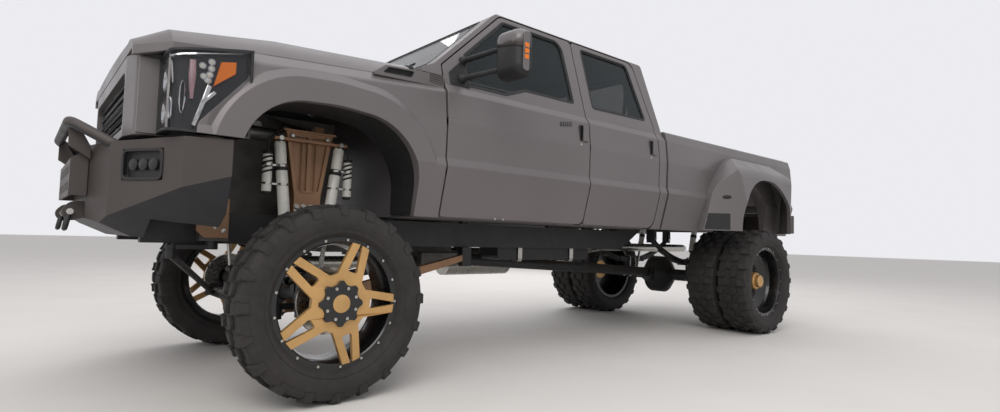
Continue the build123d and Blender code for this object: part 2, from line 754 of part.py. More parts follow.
def bumper_half():
    """Left half of the folded steel bumper: centre box, swept wing, bevels below, lamp pocket."""
    plan = [
        (0, BUMPER_FRONT_S, 0), (380, BUMPER_FRONT_S, 0), (WING_START[0], WING_START[1], 0),
        (WING_CORNER[0], WING_CORNER[1], 0), (BUMPER_HALF_W, WING_REAR_S, 0), (820, WING_REAR_S, 0),
        (700, BUMPER_BACK_S, 0), (0, BUMPER_BACK_S, 0),
    ]
    side = [
        (-1100, BUMPER_LOW_Z, 0), (-1100, BUMPER_TOP_Z - 24, 0), (BUMPER_FRONT_S, BUMPER_TOP_Z - 24, 0),
        (WING_REAR_S, BUMPER_TOP_Z, 0), (WING_REAR_S, BUMPER_LOW_Z, 0),
    ]
    half = upward(plan, BUMPER_LOW_Z, BUMPER_TOP_Z) & across(side, 0, BUMPER_HALF_W)
    half = trimmed_below(half, WING_START, WING_CORNER, (600, -842, 866))
    half = trimmed_below(half, WING_CORNER, (BUMPER_HALF_W, -517, 1119), (960, -532, 1012))
    half = trimmed_below(half, (0, BUMPER_FRONT_S, 905), (400, BUMPER_FRONT_S, 905), (0, -850, BUMPER_LOW_Z))
    fold = math.degrees(math.atan2(WING_CORNER[1] - WING_START[1], WING_CORNER[0] - WING_START[0]))
    pocket = Pos(792, -863, 1153) * Rot(0, 0, fold) * Box(253, 140, 145)
    return half - pocket


def front_bumper():
    """Whole bumper with its two tow lugs."""
    half = bumper_half()
    shell = half + mirrored(half)
    lug_rows = [
        (BUMPER_FRONT_S + 10, LUG_Z - 25, 0), (LUG_S, LUG_Z - 50, 40), (LUG_S - 45, LUG_Z, 40),
        (LUG_S, LUG_Z + 50, 40), (BUMPER_FRONT_S + 10, LUG_Z + 55, 0),
    ]
    half_t = LUG_T / 2
    lug = across(lug_rows, LUG_X - half_t, LUG_X + half_t)
    lug -= disc(LUG_X - half_t - 1, LUG_X + half_t + 1, LUG_S, LUG_Z, LUG_HOLE_R)
    return shell + lug + mirrored(lug)


def bull_bar():
    """Tube hoop over the bumper with its two flat stays."""
    front_s = FRONT_REACH + HOOP_R
    foot, bend = (600, -933, BUMPER_TOP_Z - 40), (450, front_s, HOOP_TOP_Z)
    corners = [(-foot[0], foot[1], foot[2]), (-bend[0], bend[1], bend[2]), bend, foot]
    path = FilletPolyline(*corners, radius=80)
    hoop = sweep(Plane(origin=path @ 0, z_dir=path % 0) * Circle(HOOP_R), path=path)
    stay_rows = [
        (front_s, HOOP_TOP_Z, 0), (front_s + 30, HOOP_TOP_Z, 0), (BUMPER_FRONT_S + 5, 1250, 0),
        (BUMPER_FRONT_S + 5, 1190, 0), (front_s, 1250, 0),
    ]
    for stay in both(across(stay_rows, PLATE_HALF_W + 20, PLATE_HALF_W + 32)):
        hoop += stay
    return hoop


def bumper_plate():
    """Bent centre plate under the hoop, with two rows of square holes and its end gussets."""
    back_s, bend_s = BUMPER_FRONT_S + 2, PLATE_FRONT_S
    rows = [
        (back_s, 1245, 0), (bend_s, PLATE_TOP_Z, 0),
        (bend_s, PLATE_LOW_Z, 0), (bend_s + PLATE_T, PLATE_LOW_Z, 0),
        (bend_s + PLATE_T, PLATE_TOP_Z - 6, 0), (back_s, 1233, 0),
    ]
    plate = across(rows, -PLATE_HALF_W, PLATE_HALF_W)
    gusset = [
        (back_s, 1240, 0), (bend_s + 4, PLATE_TOP_Z - 2, 0), (bend_s + 4, PLATE_LOW_Z, 0),
        (back_s, PLATE_LOW_Z, 0),
    ]
    for end in both(across(gusset, PLATE_HALF_W - PLATE_T, PLATE_HALF_W)):
        plate += end
    pitch = (2 * PLATE_HALF_W - 60) / HOLE_COLUMNS
    for row_z in (PLATE_LOW_Z + 50, PLATE_TOP_Z - 50):
        for i in range(HOLE_COLUMNS):
            x = pitch * (i + 0.5 - HOLE_COLUMNS / 2)
            z0, z1 = row_z - HOLE_SIZE / 2, row_z + HOLE_SIZE / 2
            plate -= box(x - HOLE_SIZE / 2, x + HOLE_SIZE / 2, bend_s - 5, bend_s + PLATE_T + 5, z0, z1)
    return plate


def bed():
    """Load bed: both walls, floor, front wall and wheelhouses in one."""
    rail = two_sided(side_rows() + [(965, BED_RAIL_Z, 20)])
    under_z = BED_FLOOR_Z - BED_FLOOR_T
    mouth_s = BED_REAR_S - 85
    mouth_x = TAILGATE_HALF_W + TAILGATE_CLEAR
    block = along(rail, BED_FRONT_S, BED_REAR_S)
    block -= box(-BED_INNER_X, BED_INNER_X, BED_FRONT_S + BED_WALL_T, mouth_s, BED_FLOOR_Z, CUT)
    block -= box(-mouth_x, mouth_x, mouth_s, BED_REAR_S + 10, under_z, CUT)
    block -= box(-905, 905, BED_FRONT_S - 10, BED_REAR_S + 10, 900, under_z)
    for s in (KICK_REAR_S + 100, WHEELBASE - 529, WHEELBASE + 521, BED_REAR_S - 50):
        block += box(-905, 905, s - 30, s + 30, RAIL_TOP_Z + KICK_RISE, under_z)
    house = across([
        (WHEELBASE - WHEELHOUSE_HALF, BED_FLOOR_Z - 5, 0),
        (WHEELBASE - WHEELHOUSE_HALF + 80, WHEELHOUSE_TOP_Z, 90),
        (WHEELBASE + WHEELHOUSE_HALF - 80, WHEELHOUSE_TOP_Z, 90),
        (WHEELBASE + WHEELHOUSE_HALF, BED_FLOOR_Z - 5, 0),
    ], WHEELHOUSE_X, BED_INNER_X + 5)
    for side in both(house):
        block += side
    for arch in both(across(rear_arch_rows(), BED_INNER_X + 20, PRISM_OUT_X)):
        block -= arch
    for stub in both(disc(TAILGATE_HALF_W + FIT, TAILGATE_HALF_W + 20, TAILGATE_HINGE_S, TAILGATE_HINGE_Z, 10)):
        block += stub
    return block


def rear_arch_rows():
    """Rear wheel arch opening in side view."""
    r = REAR_ARCH_R
    low, top = REAR_ARCH_Z - 85, REAR_ARCH_Z + r
    return [
        (WHEELBASE - r, low, 0), (WHEELBASE - r, top, r * 0.92), (WHEELBASE + r, top, r * 0.92),
        (WHEELBASE + r, low, 0),
    ]


def flare_block(inset):
    """Bulged block of the rear fender, moved in by inset."""
    front_s, rear_s = WHEELBASE - FLARE_HALF + inset, WHEELBASE + FLARE_HALF - inset
    out_x, top_z, low_z = FLARE_X - inset, FLARE_TOP_Z - inset, SILL_Z + 13
    plan = [
        (900, front_s, 0), (1010, front_s, 30), (out_x, front_s + 280, 260),
        (out_x, rear_s - 280, 260), (1010, rear_s, 30), (900, rear_s, 0),
    ]
    section = [
        (900, low_z, 0), (900, top_z, 0), (1060, top_z - 6, 60), (out_x - 30, top_z - 152, 160),
        (out_x, 1250, 300), (out_x - 10, low_z, 0),
    ]
    side = [
        (front_s, low_z, 0), (front_s + 70, 1400, 300), (WHEELBASE - 420, top_z + 3, 300),
        (WHEELBASE + 420, top_z + 3, 300), (rear_s - 70, 1400, 300), (rear_s, low_z, 0),
    ]
    length = along(section, front_s - 100, rear_s + 100)
    return upward(plan, low_z - 10, top_z + 8) & length & across(side, 890, FLARE_X + 100)


def dually_fender():
    """Left rear fender that bulges over the twin wheels, seated on the bed's side."""
    shell = flare_block(0) - flare_block(FLARE_T) - across(rear_arch_rows(), 900, FLARE_X + 100)
    bed_side = [(700, SILL_Z - 20, 0), (SILL_X, SILL_Z - 20, 0)] + side_rows() + [(700, BED_RAIL_Z, 0)]
    return shell - along(bed_side, WHEELBASE - FLARE_HALF - 50, WHEELBASE + FLARE_HALF + 50)


def tailgate():
    """Tailgate panel with a sunk field and the handle's pocket on its outside."""
    half = TAILGATE_T / 2
    centre = TAILGATE_HINGE_S - TAILGATE_LEAN
    low, top = BED_FLOOR_Z + 6, BED_RAIL_Z - 5
    panel = box(-TAILGATE_HALF_W, TAILGATE_HALF_W, centre - half, centre + half, low, top)
    field = two_sided([(TAILGATE_HALF_W - 110, low + 90, 30), (TAILGATE_HALF_W - 110, top - 110, 30)])
    panel -= along(field, centre + half - 8, centre + half + 1)
    return panel - box(-130, 130, centre + half - 22, centre + half + 1, top - 85, top - 25)


def rear_bumper():
    """Step bumper with a sunk step at each end and a field for the number plate."""
    front_s = BED_REAR_S + 20
    plan = two_sided([(985, front_s, 0), (985, REAR_REACH - 60, 0), (800, REAR_REACH, 60)])
    side = [
        (front_s, 1010, 0), (front_s, 1215, 0), (REAR_REACH - 30, 1215, 0), (REAR_REACH, 1180, 0),
        (REAR_REACH, 1040, 0), (REAR_REACH - 60, 1010, 0),
    ]
    bumper = upward(plan, 1000, 1230) & across(side, -PRISM_OUT_X, PRISM_OUT_X)
    for step in both(box(640, 900, front_s + 40, REAR_REACH - 40, 1206, 1240)):
        bumper -= step
    return bumper - box(-170, 170, REAR_REACH - 12, REAR_REACH + 5, 1060, 1175)


def rail_rows():
    """Side outline of a frame rail, kicked up over the rear axle."""
    rise = KICK_RISE
    return [
        (RAIL_FRONT_S, RAIL_LOW_Z, 0), (RAIL_FRONT_S, RAIL_TOP_Z, 0), (KICK_FRONT_S, RAIL_TOP_Z, 200),
        (KICK_REAR_S, RAIL_TOP_Z + rise, 200), (RAIL_REAR_S, RAIL_TOP_Z + rise, 0),
        (RAIL_REAR_S, RAIL_LOW_Z + rise, 0), (KICK_REAR_S + 60, RAIL_LOW_Z + rise, 200),
        (KICK_FRONT_S + 60, RAIL_LOW_Z, 200),
    ]


def chassis_frame():
    """Two kicked-up rails, cross members, body mounts and spring hangers."""
    rail = across(rail_rows(), RAIL_IN_X, RAIL_OUT_X)
    for s in (620, 1250, 2150, 2600):
        rail += Pos(RAIL_X, s, RAIL_TOP_Z) * extrude(RegularPolygon(34, 6), SILL_Z - RAIL_TOP_Z)
    member = (GEARBOX_MEMBER_S - 40, GEARBOX_MEMBER_S + 40)
    rail += box(RAIL_IN_X, RAIL_OUT_X, *member, GEARBOX_LOW_Z - 40, RAIL_LOW_Z)
    for s in (LEAF_FRONT_S, LEAF_REAR_S):
        rail += box(RAIL_IN_X, RAIL_OUT_X, s - 35, s + 35, LEAF_EYE_Z - 40, RAIL_LOW_Z + KICK_RISE)
    arm_in, arm_out = ARM_X - ARM_W / 2, ARM_X + ARM_W / 2
    rail += box(arm_in, arm_out, ARM_END_S, ARM_END_S + 80, ARM_END_Z - 60, RAIL_LOW_Z)
    rail += box(RAIL_IN_X, arm_out, ARM_END_S, ARM_END_S + 80, RAIL_LOW_Z - 20, RAIL_LOW_Z)
    frame = rail + mirrored(rail)
    # rows of (station of a cross member, height above the rail's flat part)
    for s, rise in (
        (RAIL_FRONT_S + 40, 0), (1560, 0), (KICK_FRONT_S - 120, 0), (KICK_REAR_S + 100, KICK_RISE),
        (WHEELBASE + 181, KICK_RISE), (RAIL_REAR_S - 60, KICK_RISE),
    ):
        frame += box(-RAIL_X, RAIL_X, s - 40, s + 40, RAIL_LOW_Z + rise + 30, RAIL_TOP_Z + rise - 20)
    frame += box(-RAIL_X, RAIL_X, *member, GEARBOX_LOW_Z - 40, GEARBOX_LOW_Z)
    return frame


def engine_block():
    """Plain engine and gearbox block on its mounts."""
    engine = box(-330, 330, -560, 250, 850, 1560)
    gearbox = box(-200, 200, 250, 1300, GEARBOX_LOW_Z, 960)
    transfer = box(-60, 280, 980, 1300, GEARBOX_LOW_Z - 100, GEARBOX_LOW_Z)
    mounts = box(-RAIL_IN_X, RAIL_IN_X, -200, -80, 860, 930)
    return engine + gearbox + transfer + mounts


def leaf_spring():
    """Left rear leaf pack: bowed leaves stepped in length under the longest, and its two eyes."""
    half_length = (LEAF_REAR_S - LEAF_FRONT_S) / 2
    sag = LEAF_EYE_Z - LEAF_LOW_Z - LEAF_COUNT * LEAF_T
    bow = (half_length ** 2 + sag ** 2) / (2 * sag)
    middle = ((LEAF_FRONT_S + LEAF_REAR_S) / 2, LEAF_EYE_Z - sag + bow)
    face = Sketch()
    for i in range(LEAF_COUNT):
        band = Circle(bow + (i + 1) * LEAF_T) - Circle(bow + i * LEAF_T)
        reach = half_length - i * LEAF_STEP
        face += Pos(*middle) * (band & (Pos(0, -bow) * Rectangle(2 * reach, bow)))
    for s in (LEAF_FRONT_S, LEAF_REAR_S):
        face += Pos(s, LEAF_EYE_Z) * Circle(24)
    return Pos(RAIL_IN_X, 0, 0) * extrude(Plane.YZ * face, RAIL_W)


def coil_spring():
    """Left front coil spring between axle pad and tower, its turns as rings round a core."""
    pitch = (SPRING_TOP_Z - SPRING_LOW_Z) / SPRING_TURNS
    rows = [(0, SPRING_LOW_Z, 0)]
    for i in range(SPRING_TURNS):
        z = SPRING_LOW_Z + pitch * i
        rows += [(SPRING_R, z, 0), (SPRING_R - 18, z + pitch * 0.5, 0)]
    rows += [(SPRING_R, SPRING_TOP_Z, 0), (0, SPRING_TOP_Z, 0)]
    return Pos(SPRING_X, 0, 0) * revolve(Plane.XZ * outline(rows), Axis.Z)


def front_axle():
    """Beam axle with its differential, spring pads and the yokes that hold the knuckles."""
    housing = turned([
        (FRONT_DIFF_X - 120, 0), (FRONT_DIFF_X - 120, 60), (FRONT_DIFF_X - 55, FRONT_DIFF_R),
        (FRONT_DIFF_X + 55, FRONT_DIFF_R), (FRONT_DIFF_X + 120, 60), (FRONT_DIFF_X + 120, 0),
    ])
    axle = disc(-KING_X + 90, KING_X - 90, 0, AXLE_Z, AXLE_R) + Pos(0, 0, AXLE_Z) * housing
    low, high = AXLE_Z - YOKE_HALF_H, AXLE_Z + YOKE_HALF_H
    side = box(KING_X - 110, KING_X - 75, -52, 52, low - YOKE_T, high + YOKE_T)
    for z in (high, low - YOKE_T):
        side += box(KING_X - 100, KING_X, -36, 36, z, z + YOKE_T)
        side += post(KING_X, 0, z, z + YOKE_T, 36)
    side += box(SPRING_X - 60, SHOCK_X + 24, -120, 120, SPRING_LOW_Z - 25, SPRING_LOW_Z)
    side += box(SPRING_X - 30, SPRING_X + 30, -50, 50, AXLE_Z, SPRING_LOW_Z - 20)
    return axle + side + mirrored(side)


def spring_tower():
    """Left fabricated tower on the rail: tapered box with a ribbed face, flanges and a tab."""
    face_x = SPRING_X + 40
    tower = across([
        (-TOWER_HALF, TOWER_TOP_Z, 0), (TOWER_HALF, TOWER_TOP_Z, 0),
        (78, TOWER_WAIST_Z, 0), (78, SPRING_TOP_Z, 0),
        (-78, SPRING_TOP_Z, 0), (-78, TOWER_WAIST_Z, 0),
    ], RAIL_OUT_X, face_x)
    panel = [
        (12, TOWER_WAIST_Z + 30, 0), (12, TOWER_TOP_Z - 25, 0), (108, TOWER_TOP_Z - 25, 0),
        (62, TOWER_WAIST_Z + 30, 0),
    ]
    tower -= across(panel, face_x - 14, face_x + 1)
    tower -= across([(-s, z, radius) for s, z, radius in reversed(panel)], face_x - 14, face_x + 1)
    tower += box(RAIL_OUT_X, face_x + 12, -TOWER_HALF - 16, TOWER_HALF + 16, TOWER_TOP_Z, TOWER_TOP_Z + 12)
    tower += box(RAIL_OUT_X + 30, RAIL_OUT_X + 42, 55, 115, TOWER_TOP_Z + 10, TOWER_TOP_Z + 60)
    tower += box(RAIL_OUT_X, RAIL_OUT_X + 18, -110, 110, RAIL_LOW_Z + 10, SPRING_TOP_Z + 100)
    tower += box(RAIL_OUT_X + 20, SHOCK_X + 40, -215, 215, TOWER_TOP_Z - 60, TOWER_TOP_Z - 44)
    return tower


def steering_bracket():
    """Bronze bracket over the steering box: a shelf on the rail and a plate outside."""
    face_x = RAIL_OUT_X + 97
    front_s, rear_s = PITMAN_S - 92, PITMAN_S + 64
    plate = across([
        (front_s, 860, 0), (front_s, 1031, 0),
        (rear_s, 1031, 0), (rear_s, 822, 0), (front_s + 42, 822, 0),
    ], face_x, face_x + 10)
    return plate + box(RAIL_IN_X, face_x + 5, front_s, rear_s, RAIL_TOP_Z, RAIL_TOP_Z + 12)


def shocks():
    """Front pairs with their reservoirs and rear singles, each a body with a thinner rod below."""
    pieces = []
    # rows of (station at the axle, station at the tower, station of the reservoir)
    for s_low, s_top, s_tank in ((-90, -178, -238), (90, 178, 238)):
        low = Vector(SHOCK_X, s_low, SPRING_LOW_Z - 10)
        top = Vector(SHOCK_X + 8, s_top, TOWER_TOP_Z - 50)
        mid = low + (top - low) * 0.42
        tank_top = TOWER_TOP_Z - 130
        tank = post(SHOCK_X + 8, s_tank, tank_top - RESERVOIR_H, tank_top, RESERVOIR_R)
        clamp = box(SHOCK_X - 8, SHOCK_X + 22, s_tank, s_top * 0.9, tank_top - 90, tank_top - 60)
        pieces += both(bar(low, mid, SHOCK_ROD_R) + bar(mid, top, SHOCK_R) + tank + clamp)
    low = Vector(RAIL_IN_X - 35, WHEELBASE + 40, AXLE_Z + 30)
    top = Vector(RAIL_IN_X - 35, WHEELBASE + 181, RAIL_TOP_Z + 138)
    mid = low + (top - low) * 0.45
    pieces += both(bar(low, mid, SHOCK_ROD_R) + bar(mid, top, SHOCK_R))
    return pieces


def radius_arm():
    """Left radius arm from the axle back to its frame bracket."""
    end_s = ARM_END_S + 5
    rows = [
        (-70, AXLE_Z - 108, 0), (-70, AXLE_Z - 38, 30), (60, AXLE_Z - 28, 0), (end_s, ARM_END_Z + 22, 0),
        (end_s, ARM_END_Z - 22, 0), (60, AXLE_Z - 108, 0),
    ]
    return across(rows, ARM_X - ARM_W / 2, ARM_X + ARM_W / 2)


def knuckle():
    """Left steering knuckle with its spindle and arm, about the kingpin."""
    low, high = AXLE_Z - YOKE_HALF_H + FIT, AXLE_Z + YOKE_HALF_H - FIT
    body = box(KING_X - 30, KING_X + 60, -55, 55, low, high)
    body += disc(KING_X + 20, HUB_FACE_X - FIT, 0, AXLE_Z, 62)
    body += box(KING_X - 25, KING_X + 25, -STEER_ARM, 0, STEER_ARM_Z, STEER_ARM_Z + 30)
    body += post(KING_X, -STEER_ARM, STEER_ARM_Z, STEER_ARM_Z + 30, 30)
    return body


def steering_links():
    """Tie rod under the knuckle arms, with the drag link to the pitman arm."""
    z = STEER_ARM_Z - 30
    rod = bar((-KING_X, -STEER_ARM, z), (KING_X, -STEER_ARM, z), 20)
    for x in (-KING_X, KING_X):
        rod += post(x, -STEER_ARM, z - 22, STEER_ARM_Z - FIT, 26)
    end = (PITMAN_X, PITMAN_S - STEER_ARM, PITMAN_Z - 30)
    rod += bar((-KING_X + 120, -STEER_ARM, z), end, 18)
    rod += post(end[0], end[1], PITMAN_Z - 48, PITMAN_Z - FIT, 24)
    return rod


def pitman_arm():
    """Arm from the steering box to the drag link."""
    arm = box(PITMAN_X - 20, PITMAN_X + 20, PITMAN_S - STEER_ARM, PITMAN_S, PITMAN_Z, PITMAN_Z + 24)
    arm += post(PITMAN_X, PITMAN_S - STEER_ARM, PITMAN_Z, PITMAN_Z + 24, 26)
    return arm + post(PITMAN_X, PITMAN_S, PITMAN_Z, RAIL_LOW_Z + 15 - FIT, 30)


def steering_box():
    """Steering gear on the outside of the left rail."""
    return box(RAIL_OUT_X, RAIL_OUT_X + 95, PITMAN_S - 70, PITMAN_S + 70, RAIL_LOW_Z + 15, RAIL_TOP_Z - 15)


def rear_axle():
    """Rear axle with differential and spring pads, ending at the hubs."""
    tube = disc(-REAR_HUB_X + FIT, REAR_HUB_X - FIT, WHEELBASE, AXLE_Z, 62)
    half_w = REAR_DIFF_R * 0.9
    housing = turned([
        (-half_w, 0), (-half_w, 70), (-half_w * 0.4, REAR_DIFF_R),
        (half_w * 0.4, REAR_DIFF_R), (half_w, 70),
        (half_w, 0),
    ])
    snout = bar((0, WHEELBASE - 260, AXLE_Z + 10), (0, WHEELBASE, AXLE_Z + 10), 75)
    pad = box(RAIL_IN_X, RAIL_OUT_X, WHEELBASE - 75, WHEELBASE + 75, AXLE_Z, LEAF_LOW_Z + 20)
    return tube + Pos(0, WHEELBASE, AXLE_Z) * housing + snout + pad + mirrored(pad)


def fuel_tank():
    """Fuel tank hung inside the left rail."""
    rows = [(1620, 690, 40), (1620, 940, 0), (2690, 940, 0), (2690, 690, 40)]
    return across(rows, 150, RAIL_IN_X)


def exhaust():
    """Exhaust from the engine, under the floor and over the rear axle, ending behind the wheel."""
    over_z = PIPE_Z + 150
    corners = [
        (-260, 160, 850), (-260, 160, PIPE_Z), (PIPE_X, 2500, PIPE_Z), (-225, WHEELBASE - 779, over_z),
        (-225, WHEELBASE + 921, over_z), (-760, WHEELBASE + 1021, over_z - 20),
    ]
    path = FilletPolyline(*corners, radius=[70, 0, 0, 150])
    pipe = None
    for edge in path.edges():
        run = sweep(Plane(origin=edge @ 0, z_dir=edge % 0) * Circle(PIPE_R), path=edge)
        pipe = run if pipe is None else pipe + run
    return pipe + bar((PIPE_X + 3, 1550, PIPE_Z), (PIPE_X + 3, 2250, PIPE_Z), 120)


def drive_shafts():
    """Rear and front shafts with their end yokes."""
    rear = bar((60, 1290, GEARBOX_LOW_Z - 45), (0, WHEELBASE - 150, AXLE_Z + 20), 48)
    front = bar((FRONT_DIFF_X, 990, GEARBOX_LOW_Z - 60), (FRONT_DIFF_X, 130, AXLE_Z + 20), 30)
    return [rear, front]


def radiator():
    """Radiator pack between the rails and the nose panel."""
    return box(-715, 715, -720, -650, RAIL_TOP_Z, 1600)


def wheel_liner():
    """Left front wheel liner: a curved strip just outside the arch opening."""
    strip = across(front_arch_rows(15, SILL_Z + 10), 660, 1000) - across(front_arch_rows(3, 900), 650, 1010)
    strip &= along(body_section(3), -ARCH_HALF - 50, ARCH_HALF + 50)
    return strip - box(600, PRISM_OUT_X, -700, 0, 900, 1300)


def mirror_unit():
    """Left towing mirror: head with a sunk glass on two arms."""
    plan = [(MIRROR_X0, 835, 30), (MIRROR_X0 + 20, 935, 0), (MIRROR_X1, 940, 0), (MIRROR_X1 - 10, 850, 60)]
    face = [
        (MIRROR_X0 - 45, MIRROR_LOW_Z, 60), (MIRROR_X0 - 45, MIRROR_TOP_Z - 5, 60),
        (MIRROR_X1 + 30, MIRROR_TOP_Z - 30, 60), (MIRROR_X1 + 30, MIRROR_LOW_Z + 5, 60),
    ]
    head = upward(plan, MIRROR_LOW_Z, MIRROR_TOP_Z) & along(face, 800, 960)
    head -= box(MIRROR_X0 + 34, MIRROR_X1 - 14, 926, 960, MIRROR_LOW_Z + 25, MIRROR_TOP_Z - 45)
    low = bar((930, 800, 1862), (MIRROR_X0 + 40, 885, 1880), 17)
    high = bar((890, 838, 1995), (MIRROR_X0 + 40, 885, 2000), 17)
    return head + low + high


def tail_lamp():
    """Left tail lamp on the bed's rear corner, in three stepped fields."""
    lamp = along([(890, 1340, 20), (890, 1740, 20), (990, 1735, 20), (1005, 1345, 20)], BED_REAR_S, BED_REAR_S + 18)
    for z in (1470, 1600):
        lamp -= box(880, PRISM_OUT_X, BED_REAR_S + 12, BED_REAR_S + 20, z, z + 10)
    return lamp


def tread_half(x0, x1, turn):
    """One row of flat-topped lugs as a ring; with no turn, one lug stands flat on the ground."""
    pitch = 2 * math.pi / LUG_COUNT
    tip = TYRE_RADIUS / math.cos(LUG_TIP_SHARE * pitch)
    # rows of (radius, share of the pitch from the lug's middle)
    tooth = ((tip, -LUG_TIP_SHARE), (tip, LUG_TIP_SHARE), (TYRE_RADIUS - LUG_HEIGHT, 0.5))
    corners = []
    for i in range(LUG_COUNT):
        for radius, share in tooth:
            angle = (i + turn + share) * pitch
            corners.append((radius * math.sin(angle), -radius * math.cos(angle)))
    ring = make_face(Polyline(*corners, close=True)) - Circle(SHOULDER_R - 8)
    return Pos(x0, 0, 0) * extrude(Plane.YZ * ring, x1 - x0)


def tyre(x_outer):
    """One tyre about the wheel's axis: carcass with two rows of staggered lugs beside a groove."""
    half = TYRE_WIDTH / 2
    middle = x_outer - half
    # rows of (distance from the tyre's middle, radius)
    wall = ((half - LIP_INSET - 8, RIM_SEAT), (half - LIP_INSET, RIM_LIP), (half, SIDEWALL_R),
            (half - SHOULDER_IN, SHOULDER_R))
    rows = [(middle + u, r) for u, r in wall] + [(middle - u, r) for u, r in reversed(wall)]
    carcass = turned(rows)
    edge, groove = half - SHOULDER_IN, TREAD_GROOVE / 2
    inner_half = tread_half(middle - edge, middle - groove, 0)
    return carcass + inner_half + tread_half(middle + groove, middle + edge, 0.5)


def rim(x_outer):
    """Rim barrel whose bead lips hold the tyre."""
    half = TYRE_WIDTH / 2 - LIP_INSET
    middle = x_outer - TYRE_WIDTH / 2
    end = ((half - 8, RIM_SEAT), (half, RIM_LIP), (half, RIM_BORE))
    return turned([(middle + u, r) for u, r in end] + [(middle - u, r) for u, r in reversed(end)])


def spokes(x0, x1):
    """Flat spokes in pairs round a hub disc, each pair split by a tapered slot."""
    tip = SPOKE_TIP_R
    pair = outline([(-72, 100, 0), (-49, tip, 0), (49, tip, 0), (72, 100, 0)])
    slot = outline([(-28, 165, 0), (-5, tip - 5, 0), (5, tip - 5, 0), (28, 165, 0)])
    turns = [Rot(0, 0, -SPOKE_TURN - i * 360 / SPOKE_PAIRS) for i in range(SPOKE_PAIRS)]
    face = Circle(SPOKE_HUB_R)
    for turn in turns:
        face += turn * pair
    for turn in turns:
        face -= turn * slot
    return Pos(x0, 0, 0) * extrude(Plane.YZ * face, x1 - x0)


def hub_star(x0, x1):
    """Star-shaped ring round the hub cap."""
    points = []
    for i in range(2 * STAR_TIPS):
        radius = STAR_R if i % 2 == 0 else STAR_R - 20
        angle = math.pi * i / STAR_TIPS
        points.append((radius * math.sin(angle), radius * math.cos(angle)))
    return Pos(x0, 0, 0) * extrude(Plane.YZ * make_face(Polyline(*points, close=True)), x1 - x0)


def front_wheel():
    """Front rim with spokes, star, hub cap and brake rotor, about its own axis."""
    lip_x = FRONT_TYRE_OUTER - LIP_INSET
    face_x = lip_x - 6
    wheel = rim(FRONT_TYRE_OUTER) + spokes(face_x - SPOKE_T, face_x)
    wheel += disc(HUB_FACE_X, face_x + 2, 0, 0, 95)
    wheel += hub_star(face_x + 1, face_x + 26) + disc(face_x + 25, face_x + 43, 0, 0, HUB_CAP_R)
    return wheel + disc(HUB_FACE_X + 10, HUB_FACE_X + 10 + ROTOR_T, 0, 0, ROTOR_R)


def rear_wheel():
    """Twin rear rims on one hub, about their own axis; the outer one's spokes lie deep."""
    outer = REAR_TYRE_OUTER
    inner = outer - TYRE_WIDTH - TWIN_SPACING
    deep_x = outer - TYRE_WIDTH + LIP_INSET
    pair = rim(outer) + spokes(deep_x + 2, deep_x + 2 + SPOKE_T)
    pair += rim(inner) + disc(inner - LIP_INSET - 26, inner - LIP_INSET - 4, 0, 0, RIM_BORE + 1)
    return pair + disc(REAR_HUB_X, outer - 160, 0, 0, REAR_HUB_R) + disc(outer - 160, outer - 85, 0, 0, 70)


def at_axle(piece, s):
    """Puts a wheel piece on an axle."""
    return Pos(0, s, AXLE_Z) * piece


def write(name, pieces):
    """Writes one node, moved so that the origin is mid length on the ground."""
    solids = []
    for piece in pieces if isinstance(pieces, list) else [pieces]:
        solids += [Pos(0, CENTRE_SHIFT, 0) * solid for solid in piece.solids()]
    export_step(Compound(children=solids), f"parts/{name}.step")


def write_sides(name, piece):
    """Writes a left node and its right twin."""
    write(name + "_left", piece)
    write(name + "_right", [mirrored(solid) for solid in (piece if isinstance(piece, list) else [piece])])


os.makedirs("parts", exist_ok=True)

springs = both(leaf_spring()) + both(coil_spring())
frame = chassis_frame()
axle_front = front_axle()
axle_rear = rear_axle()
for spring in springs[:2]:
    frame -= spring
    axle_rear -= spring
powertrain = engine_block()
towers = both(spring_tower())
write("chassis_frame", frame)
write("engine_block", powertrain)
write("drive_shafts", [shaft - powertrain - axle_front - axle_rear for shaft in drive_shafts()])
write("exhaust_pipe", exhaust())
write("fuel_tank", fuel_tank())
write("front_axle", axle_front)
write("rear_axle", axle_rear)
write("radius_arms", [arm - axle_front - frame for arm in both(radius_arm())])
write("spring_towers", towers + [steering_bracket()])
write("springs", springs)
write("shock_absorbers", [shock - axle_front - axle_rear - towers[0] - towers[1] - frame for shock in shocks()])
write("steering_box", steering_box())
write("radiator", radiator())

door_front, door_rear = door_rows()
window_front, window_rear = window_rows()
panel_front = door_solid(door_front, window_front, SEAM_FRONT_S + SEAM / 2, HANDLE_S)
panel_rear = door_solid(door_rear, window_rear, SEAM_MID_S + SEAM / 2, HANDLE_S + HANDLE_PITCH)
write("cab_shell", cab_shell())
write("cab_glass", cab_glass())
write("seat_set", seats())
write("dashboard", dashboard())
write("hinge_straps", door_hinges() + hood_hinges())
write_sides("door_panel_front", panel_front)
write_sides("door_panel_rear", panel_rear)
write_sides("door_glass_front", door_glass(window_front))
write_sides("door_glass_rear", door_glass(window_rear))
write_sides("side_mirror", mirror_unit() - panel_front)
write("steering_wheel", steering_wheel())

fenders = both(front_fender())
bumper = front_bumper()
write("hood_panel", hood())
write("front_fenders", fenders)
write("wheel_liners", [liner - fender for liner, fender in zip(both(wheel_liner()), fenders)])
write("nose_panel", nose_panel())
write("grille", grille())
write("head_lamps", both(headlamp()))
write("front_bumper", bumper)
write("bull_bar", [bull_bar() - bumper, bumper_plate() - bumper])
write("bed_box", bed())
write("dually_fenders", both(dually_fender()))
write("tailgate_panel", tailgate())
write("tail_lamps", both(tail_lamp()))
write("rear_bumper", rear_bumper())

